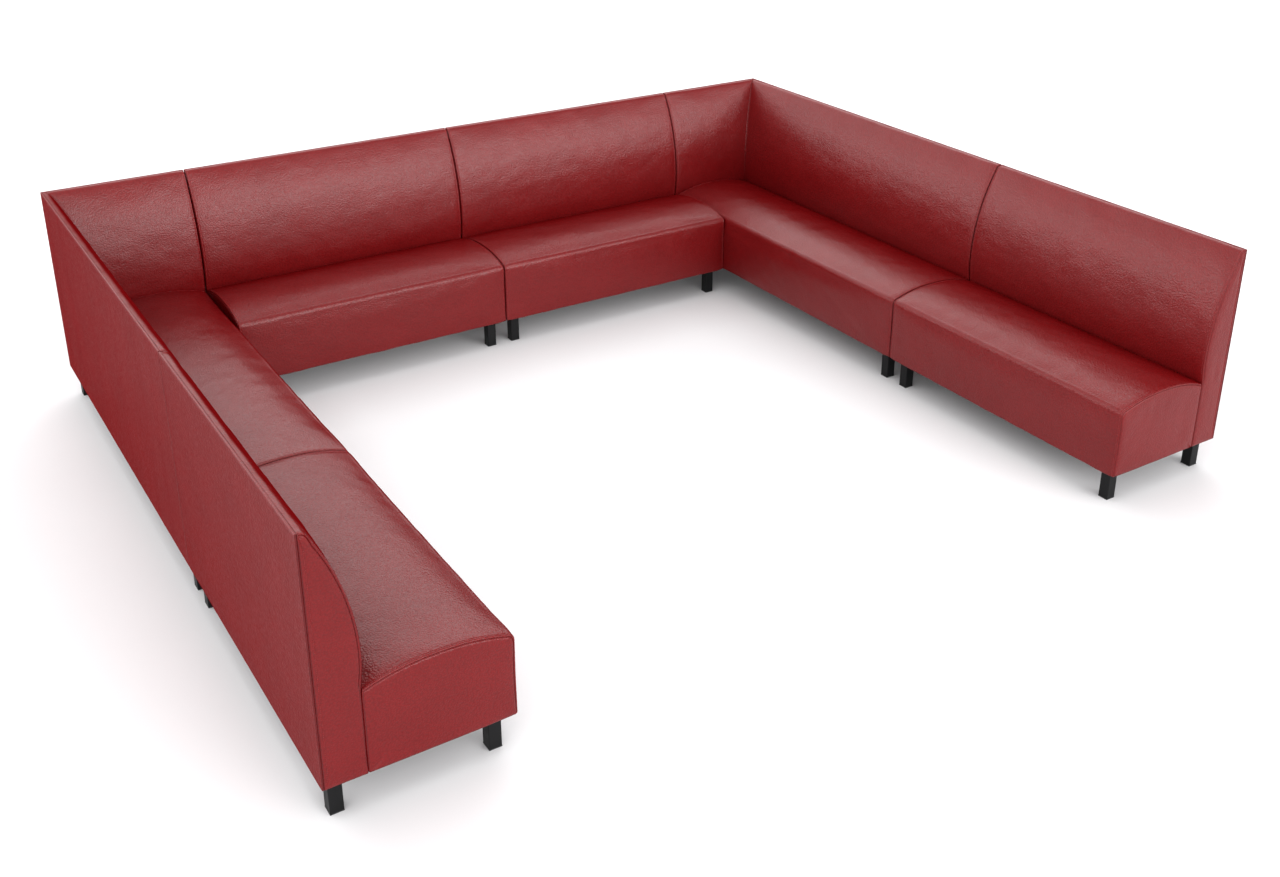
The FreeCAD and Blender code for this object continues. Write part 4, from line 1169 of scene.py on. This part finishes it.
def leg_tree():
    """Square tube legs with rounded corners, each closed at its top by a bored plate."""
    tree, given = new_tree(
        "square_legs", ["Width", "Corner", "Wall", "Bottom", "Top", "Plate", "Hole"])

    # What follows from the given sizes. The path runs along the middle of the tube's walls, and
    # the plate reaches a little into them.
    size = {socket.name: socket for socket in given}
    for name, first, operation, second in (
        ("Height", "Top", "SUBTRACT", "Bottom"),
        ("Half height", "Height", "MULTIPLY", 0.5),
        ("Middle", "Bottom", "ADD", "Half height"),
        ("Half wall", "Wall", "MULTIPLY", 0.5),
        ("Path width", "Width", "SUBTRACT", "Wall"),
        ("Path corner", "Corner", "SUBTRACT", "Half wall"),
        ("Most of both walls", "Wall", "MULTIPLY", 1.9),
        ("Plate width", "Width", "SUBTRACT", "Most of both walls"),
        ("Plate corner", "Corner", "SUBTRACT", "Wall"),
        ("Plate bottom", "Top", "SUBTRACT", "Plate"),
    ):
        size[name] = add(tree, "ShaderNodeMath", {
            0: size[first], 1: size.get(second, second)}, operation=operation).outputs[0]

    def rounded_square(width, radius):
        square = add(tree, "GeometryNodeCurvePrimitiveQuadrilateral", {
            "Width": width, "Height": width})
        return add(tree, "GeometryNodeFilletCurve", {
            "Curve": square.outputs["Curve"], "Radius": radius, "Count": 4},
            mode="POLY").outputs["Curve"]

    path = rounded_square(size["Path width"], size["Path corner"])
    wall = add(tree, "GeometryNodeCurvePrimitiveQuadrilateral", {
        "Width": size["Wall"], "Height": size["Height"]})
    soft_wall = add(tree, "GeometryNodeFilletCurve", {
        "Curve": wall.outputs["Curve"], "Radius": 0.5 * MM, "Count": 2}, mode="POLY")
    tube = add(tree, "GeometryNodeCurveToMesh", {
        "Curve": path, "Profile Curve": soft_wall.outputs["Curve"]})
    middle = add(tree, "ShaderNodeCombineXYZ", {"Z": size["Middle"]})
    standing = add(tree, "GeometryNodeTransform", {
        "Geometry": tube.outputs["Mesh"], "Translation": middle.outputs["Vector"]})
    bore = add(tree, "GeometryNodeCurvePrimitiveCircle", {
        "Resolution": 20, "Radius": size["Hole"]})
    outlines = add(tree, "GeometryNodeJoinGeometry", {"Geometry": [
        rounded_square(size["Plate width"], size["Plate corner"]), bore.outputs["Curve"]]})
    face = add(tree, "GeometryNodeFillCurve", {"Curve": outlines.outputs["Geometry"]})
    under = add(tree, "GeometryNodeFlipFaces", {"Mesh": face.outputs["Mesh"]})
    raised = add(tree, "GeometryNodeExtrudeMesh", {
        "Mesh": face.outputs["Mesh"], "Offset Scale": size["Plate"], "Individual": False})
    shell = add(tree, "GeometryNodeJoinGeometry", {
        "Geometry": [under.outputs["Mesh"], raised.outputs["Mesh"]]})
    closed = add(tree, "GeometryNodeMergeByDistance", {"Geometry": shell.outputs["Geometry"]})
    plate_place = add(tree, "ShaderNodeCombineXYZ", {"Z": size["Plate bottom"]})
    plate = add(tree, "GeometryNodeTransform", {
        "Geometry": closed.outputs["Geometry"], "Translation": plate_place.outputs["Vector"]})
    leg = add(tree, "GeometryNodeJoinGeometry", {
        "Geometry": [standing.outputs["Geometry"], plate.outputs["Geometry"]]})
    points = add(tree, "GeometryNodeMeshToPoints", {"Mesh": given["Geometry"]})
    placed = add(tree, "GeometryNodeInstanceOnPoints", {
        "Points": points.outputs["Points"], "Instance": leg.outputs["Geometry"]})
    return end_tree(tree, given, placed.outputs["Instances"], smooth=False)


def lines_mesh(lines):
    """Open lines of points as one mesh of edges, with the way each point faces."""
    places = np.vstack([line for line, _ in lines])
    facing = np.vstack([out for _, out in lines])
    edges, start = [], 0
    for line, _ in lines:
        edges += [(start + step, start + step + 1) for step in range(len(line) - 1)]
        start += len(line)
    mesh = bpy.data.meshes.new("lines")
    mesh.from_pydata(places.tolist(), edges, [])
    attribute = mesh.attributes.new("facing", "FLOAT_VECTOR", "POINT")
    attribute.data.foreach_set("vector", facing.astype(np.float32).ravel())
    return mesh


def made_by_nodes(name, base, tree, values):
    """The plain mesh that a tree makes of a base mesh, as an object with no modifier left."""
    piece = show(name, base)
    modifier = piece.modifiers.new("nodes", "NODES")
    modifier.node_group = tree
    for socket in tree.interface.items_tree:
        if socket.item_type == "SOCKET" and socket.in_out == "INPUT" and socket.name in values:
            modifier[socket.identifier] = values[socket.name]
    evaluated = piece.evaluated_get(bpy.context.evaluated_depsgraph_get())
    mesh = bpy.data.meshes.new_from_object(evaluated)
    piece.modifiers.clear()
    piece.data = mesh
    return piece


stitches = stitch_tree()
staples = staple_tree()
square_legs = leg_tree()

# Which end of X stands free, past the last seat of a row
FREE_ENDS = {"left_end": 1, "right_end": -1}
CUSHION_WANDER, PANEL_WANDER = 1.0 * MM, 0.5 * MM
STITCH_SIZES = {
    "Pitch": 6.5 * MM, "Stitch length": 5.0 * MM, "Thread": 0.85 * MM, "Material": thread}

for number, module in enumerate(MODULES):
    name, turns_corner, _, _, hand = module
    mirrored = hand < 0
    seat = corner_seat if turns_corner else straight_seat
    back = corner_back if turns_corner else straight_back
    free_end = FREE_ENDS.get(name, 0)
    stitch_lines = []
    for kind, cushion, seed in (("_seat", seat, number), ("_back", back, number + 20)):
        piece = upholster(
            name + kind, *cushion, module, seed, CUSHION_WANDER, mirrored, free_end)
        finish_piece(
            piece, "leatherette", leatherette, name + kind + "_cover", name + kind + "_foam")
        stitch_lines += stitch_lines_of(piece.data, *cushion)
    for part, form in enumerate(outer_panel_forms(turns_corner)):
        part_name = name + ("_return_pad" if part else "_outer_pad")
        panel = upholster(
            part_name, form, panel_line, module, number + 40 + 10 * part, PANEL_WANDER, mirrored)
        finish_piece(panel, "leatherette", leatherette, name + "_outer_panel")
    topstitch = made_by_nodes(
        name + "_topstitch", lines_mesh(stitch_lines), stitches, STITCH_SIZES)
    finish_piece(topstitch, "leatherette", thread)


# Legs, straps and the cloth under each module

LEG_END, LEG_REAR, LEG_FRONT = 0.062, 0.049, 0.553
LEG_SIZES = {
    "Width": 0.044, "Corner": 3.0 * MM, "Wall": 2.0 * MM, "Bottom": 0.004, "Top": 0.1272,
    "Plate": 4.0 * MM, "Hole": 4.2 * MM, "Material": powder_coat}


def leg_places(turns_corner, hand):
    """Where a module's four legs stand, in its own frame."""
    low, high = -HALF_LENGTH + LEG_END, HALF_LENGTH - LEG_END
    if turns_corner:
        low, high = hand * LEG_END, hand * (CORNER_LENGTH - LEG_REAR)
    return np.array([(x, y, 0.0) for x in (low, high) for y in (LEG_REAR, LEG_FRONT)])


# Elastic straps 60 mm wide. Those across the seat are woven with three along it.
STRAP_HALF, STRAP_THICKNESS = 0.030, 0.0014
STRAP_SECTION = [
    (-1, 0), (-0.97, 0.42), (-0.90, 0.5), (0.90, 0.5), (0.97, 0.42),
    (1, 0), (0.97, -0.42), (0.90, -0.5), (-0.90, -0.5), (-0.97, -0.42),
]
STRAP_LEVEL = 0.283
# How far the frame stands in from the seat's edges, and the outermost straps from the frame
FRAME_INSET, STRAP_INSET = 0.032, 0.051
# How far a strap rises over a crossing one or dips under it, over what reach, and how far it
# comes down on the frame at its ends
STRAP_RISE, CROSSING_REACH = 0.9 * MM, 0.034
STRAP_DROP, DROP_REACH = 1.2 * MM, 0.03


def strap_mesh(name, straps):
    """Flat straps with soft edges: each runs along its middle line, woven over and under."""
    places, faces = [], []
    for middle_line, side in straps:
        start = len(places)
        for spot in middle_line:
            for across, up in STRAP_SECTION:
                places.append(
                    spot + side * across * STRAP_HALF + np.array([0, 0, up * STRAP_THICKNESS]))
        faces += tube_faces(start, len(middle_line), len(STRAP_SECTION))
    mesh = bpy.data.meshes.new(name)
    mesh.from_pydata([tuple(place) for place in places], [], faces)
    shell = bmesh.new()
    shell.from_mesh(mesh)
    bmesh.ops.recalc_face_normals(shell, faces=shell.faces)
    shell.to_mesh(mesh)
    shell.free()
    mesh.shade_smooth()
    return mesh


def strap_level(spot, start, end, crossings, number, hand):
    """How high a strap's middle is at a spot between its ends, as it passes its crossings."""
    near = sum(
        (1 if (number + other) % 2 else -1) * math.exp(-((spot - place) / CROSSING_REACH) ** 4)
        for other, place in enumerate(crossings))
    edge = min(1.0, (spot - start) / DROP_REACH, (end - spot) / DROP_REACH)
    return STRAP_LEVEL + hand * STRAP_RISE * near * edge - (1 - edge) * STRAP_DROP


def woven_straps(low, high, count):
    """A seat's straps: count across it and three along it, woven through each other."""
    first, last = low + FRAME_INSET, high - FRAME_INSET
    rear, front = SEAT_REAR, DEPTH - FRAME_INSET
    crosses = np.linspace(first + STRAP_INSET, last - STRAP_INSET, count)
    longs = np.linspace(rear + STRAP_INSET, front - STRAP_INSET, 3)
    straps = []
    for number, x in enumerate(crosses):
        line = [np.array([x, y, strap_level(y, rear, front, longs, number, 1)])
                for y in np.linspace(rear, front, 60)]
        straps.append((line, np.array([1.0, 0, 0])))
    for number, y in enumerate(longs):
        line = [np.array([x, y, strap_level(x, first, last, crosses, number, -1)])
                for x in np.linspace(first, last, count * 14)]
        straps.append((line, np.array([0, 1.0, 0])))
    return straps


# The dust cloth's level on the underside, its margin from the module's edges, and how far its
# staples are from those edges. The cloth hangs free past the staples and clear of the legs.
CLOTH_FLOOR = 0.1302
CLOTH_MARGIN, STAPLE_INSET = 0.008, 0.020
LEG_CLEAR, SLACK_REACH = 0.045, 0.10
# How far it sags, how uneven that is and over what distance, and the most that it may hang
SAG, SAG_UNEVEN, UNEVEN_REACH, SAG_MOST = 1.6 * MM, 0.35 * MM, 0.11, 2.4 * MM
# The mesh of the cloth: how far apart its columns are, and how many rows it has
CLOTH_PITCH, CLOTH_ROWS = 0.013, 46
STAPLE_SIZES = {"Pitch": 0.055, "Crown": 0.010, "Wire": 0.7 * MM, "Material": zinc}


def dust_cloth_mesh(name, low, high, legs, seed):
    """A thin cloth stapled flat along its edges, that hangs a little between them."""
    columns = np.linspace(
        low + CLOTH_MARGIN, high - CLOTH_MARGIN, int((high - low) / CLOTH_PITCH))
    rows = np.linspace(CLOTH_MARGIN, DEPTH - CLOTH_MARGIN, CLOTH_ROWS)
    x, y = np.meshgrid(columns, rows, indexing="ij")
    flat = np.column_stack([x.ravel(), y.ravel(), np.zeros(x.size)])
    to_edge = np.minimum.reduce([
        flat[:, 0] - columns[0], columns[-1] - flat[:, 0],
        flat[:, 1] - rows[0], rows[-1] - flat[:, 1]])
    free = np.clip((to_edge - STAPLE_INSET) / SLACK_REACH, 0, 1)
    for leg in legs:
        away = np.hypot(flat[:, 0] - leg[0], flat[:, 1] - leg[1])
        free *= np.clip((away - LEG_CLEAR) / SLACK_REACH, 0, 1)
    wrinkles = soft_field(flat, UNEVEN_REACH, seed, (1, 2.5, 1))
    sag = SAG * free ** 0.8 + SAG_UNEVEN * free * wrinkles
    flat[:, 2] = CLOTH_FLOOR + 0.0004 - np.clip(sag, 0, SAG_MOST)
    across = len(rows)
    faces = [
        (c * across + r, (c + 1) * across + r, (c + 1) * across + r + 1, c * across + r + 1)
        for c in range(len(columns) - 1) for r in range(across - 1)]
    mesh = bpy.data.meshes.new(name)
    mesh.from_pydata(flat.tolist(), [], faces)
    mesh.shade_smooth()
    return mesh


def staple_places(low, high):
    """Lines along the cloth's four edges, where it is stapled up to the timber."""
    first, last = low + STAPLE_INSET, high - STAPLE_INSET
    rear, front = STAPLE_INSET, DEPTH - STAPLE_INSET
    # The short sides' lines keep clear of the long sides'.
    short = (rear + 0.03, front - 0.03)
    return [np.array([(first, y, CLOTH_FLOOR), (last, y, CLOTH_FLOOR)]) for y in (rear, front)] + [
        np.array([(x, y, CLOTH_FLOOR) for y in short]) for x in (first, last)]


staple_lines = []
for number, module in enumerate(MODULES):
    name, turns_corner, _, _, hand = module
    low, high = -HALF_LENGTH, HALF_LENGTH
    seat_low, seat_high, straps = low, high, 9
    if turns_corner:
        low, high = sorted((0.0, hand * CORNER_LENGTH))
        seat_low, seat_high = sorted((0.0, hand * CORNER_SEAT_END))
        straps = 13
    places = leg_places(turns_corner, hand)
    mesh = bpy.data.meshes.new("points")
    mesh.from_pydata(to_world(places, module).tolist(), [], [])
    legs = made_by_nodes(name + "_leg_tubes", mesh, square_legs, LEG_SIZES)
    finish_piece(legs, "leg_paint", powder_coat, name + "_legs")
    mesh = strap_mesh(name + "_straps", woven_straps(seat_low, seat_high, straps))
    set_coordinates(mesh, to_world(coordinates(mesh), module))
    finish_piece(show(name + "_straps", mesh), "webbing", webbing, name + "_seat_webbing")
    mesh = dust_cloth_mesh(name + "_dust_cloth", low, high, places, number + 70)
    set_coordinates(mesh, to_world(coordinates(mesh), module))
    cloth = show(name + "_dust_cloth", mesh)
    thick = cloth.modifiers.new("thickness", "SOLIDIFY")
    thick.thickness = 0.5 * MM
    thick.offset = 0
    finish_piece(cloth, "dust_cloth", dust_cloth, "dust_covers")
    staple_lines += [to_world(line, module) for line in staple_places(low, high)]

downwards = np.tile([0, 0, -1.0], (2, 1))
staple_row = made_by_nodes(
    "cloth_staples", lines_mesh([(line, downwards) for line in staple_lines]), staples,
    STAPLE_SIZES)
finish_piece(staple_row, "zinc_steel", zinc)


# The solids that stay as they are get their real finishes

kept_finishes = {
    "leg_glides": glide_plastic, "leg_bolts": zinc, "seat_fixings": zinc,
    "link_plates": powder_coat, "leg_spacers": powder_coat,
}
for module in MODULES:
    kept_finishes[module[0] + "_seat_frame"] = timber
    kept_finishes[module[0] + "_back_frame"] = timber
for node, material in kept_finishes.items():
    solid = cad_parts[node]
    if not solid.material_slots:
        solid.data.materials.append(material)
    for place in solid.material_slots:
        place.material = material


# Floor, light and camera

# How bright the studio is towards each side, from the floor's line up to overhead. The heights
# are in degrees, and the brightness is in units of plain white. The number after a side is how
# narrow its light is: 2 spreads it over about 90 degrees, and 12 keeps it to about 40.
SKY_HEIGHTS = [0, 6, 12, 20, 30, 45, 60, 80]
SKY_SIDES = [
    ((0, -1, 0), 2, [0.2, 0.2, 0.5, 1.1, 1.0, 0.4, 0.4, 2.3]),
    ((0.87, -0.5, 0), 2, [0.1, 0.2, 0.8, 2.2, 1.6, 0.5, 0.6, 2.3]),
    ((0.33, -0.94, 0), 12, [0.0, 3.0, 9.0, 9.0, 3.0, 0.5, 0.0, 0.0]),
    ((0, 1, 0), 2, [0.0, 0.1, 0.4, 1.8, 3.8, 2.4, 1.5, 2.3]),
    ((0.7, 0.71, 0), 12, [0.0, 0.0, 0.0, 0.5, 2.2, 2.6, 0.5, 0.0]),
    ((-0.8, 0.6, 0), 6, [1.0, 6.0, 6.0, 1.5, 0.3, 0.2, 0.0, 0.0]),
    ((-0.87, -0.5, 0), 2, [0.3, 3.9, 3.4, 2.0, 2.4, 2.6, 1.2, 2.3]),
]
# A colour ramp's values end at 1, so they are given as shares of this.
BRIGHTEST = 14.0


def studio_light(world):
    """Soft white light from all round, made of the walls of light in SKY_SIDES."""
    world.use_nodes = True
    tree = world.node_tree
    background = tree.nodes["Background"]
    direction = add(tree, "ShaderNodeTexCoord").outputs["Generated"]
    height = add(tree, "ShaderNodeSeparateXYZ", {"Vector": direction}).outputs["Z"]
    angle = add(tree, "ShaderNodeMath", {0: height}, operation="ARCSINE").outputs[0]
    share = add(tree, "ShaderNodeMath", {0: angle, 1: 2 / math.pi}, operation="MULTIPLY").outputs[0]
    level = add(tree, "ShaderNodeVectorMath", {
        0: direction, 1: (1, 1, 0)}, operation="MULTIPLY").outputs["Vector"]
    level = add(tree, "ShaderNodeVectorMath", {0: level}, operation="NORMALIZE").outputs["Vector"]
    total = None
    for side, narrowness, brightness in SKY_SIDES:
        towards = add(tree, "ShaderNodeVectorMath", {
            0: level, 1: side}, operation="DOT_PRODUCT").outputs["Value"]
        towards = add(tree, "ShaderNodeMath", {0: towards, 1: 0}, operation="MAXIMUM").outputs[0]
        towards = add(tree, "ShaderNodeMath", {
            0: towards, 1: narrowness}, operation="POWER").outputs[0]
        wall = add(tree, "ShaderNodeValToRGB", {"Fac": share})
        stops = wall.color_ramp.elements
        while len(stops) < len(SKY_HEIGHTS):
            stops.new(0.5)
        for stop, place, value in zip(stops, SKY_HEIGHTS, brightness):
            stop.position = place / 90
            stop.color = [value / BRIGHTEST] * 3 + [1]
        part = add(tree, "ShaderNodeMath", {
            0: wall.outputs["Color"], 1: towards}, operation="MULTIPLY").outputs[0]
        if total is None:
            total = part
        else:
            total = add(tree, "ShaderNodeMath", {0: total, 1: part}).outputs[0]
    strength = add(tree, "ShaderNodeMath", {0: total, 1: BRIGHTEST}, operation="MULTIPLY")
    background.inputs["Color"].default_value = colour("#FFFFFF")
    tree.links.new(strength.outputs[0], background.inputs["Strength"])


FLOOR_REACH = 40.0


def set_stage():
    """A pale floor, the soft light of a studio all round, and the camera."""
    scene = bpy.context.scene
    scene.view_settings.view_transform = "Standard"
    # The photograph's deep shades call for more contrast than the plain view gives.
    scene.view_settings.gamma = 1 / 1.12
    world = bpy.data.worlds.new("studio")
    scene.world = world
    studio_light(world)
    mesh = bpy.data.meshes.new("floor")
    corners = [(-1, -1, 0), (1, -1, 0), (1, 1, 0), (-1, 1, 0)]
    mesh.from_pydata(
        [tuple(FLOOR_REACH * way for way in corner) for corner in corners], [], [(0, 1, 2, 3)])
    floor = show("floor", mesh)
    mesh.materials.append(floor_material())
    floor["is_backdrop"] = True
    # The camera was worked out from 57 corners of the seating.
    camera = bpy.data.cameras.new("camera")
    camera.lens = 39.385
    camera.sensor_width = 36
    camera.shift_y = -0.1098
    camera.clip_end = 200
    viewer = bpy.data.objects.new("camera", camera)
    scene.collection.objects.link(viewer)
    viewer.location = (-2.80621, -4.66300, 2.90496)
    viewer.rotation_euler = [math.radians(angle) for angle in (67.1580, -0.0770, -32.2608)]
    scene.camera = viewer


set_stage()


def plain(bounds):
    return [[float(value) for value in corner] for corner in bounds]


{"cad": plain(cad_bounds), "visual": plain(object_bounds())}
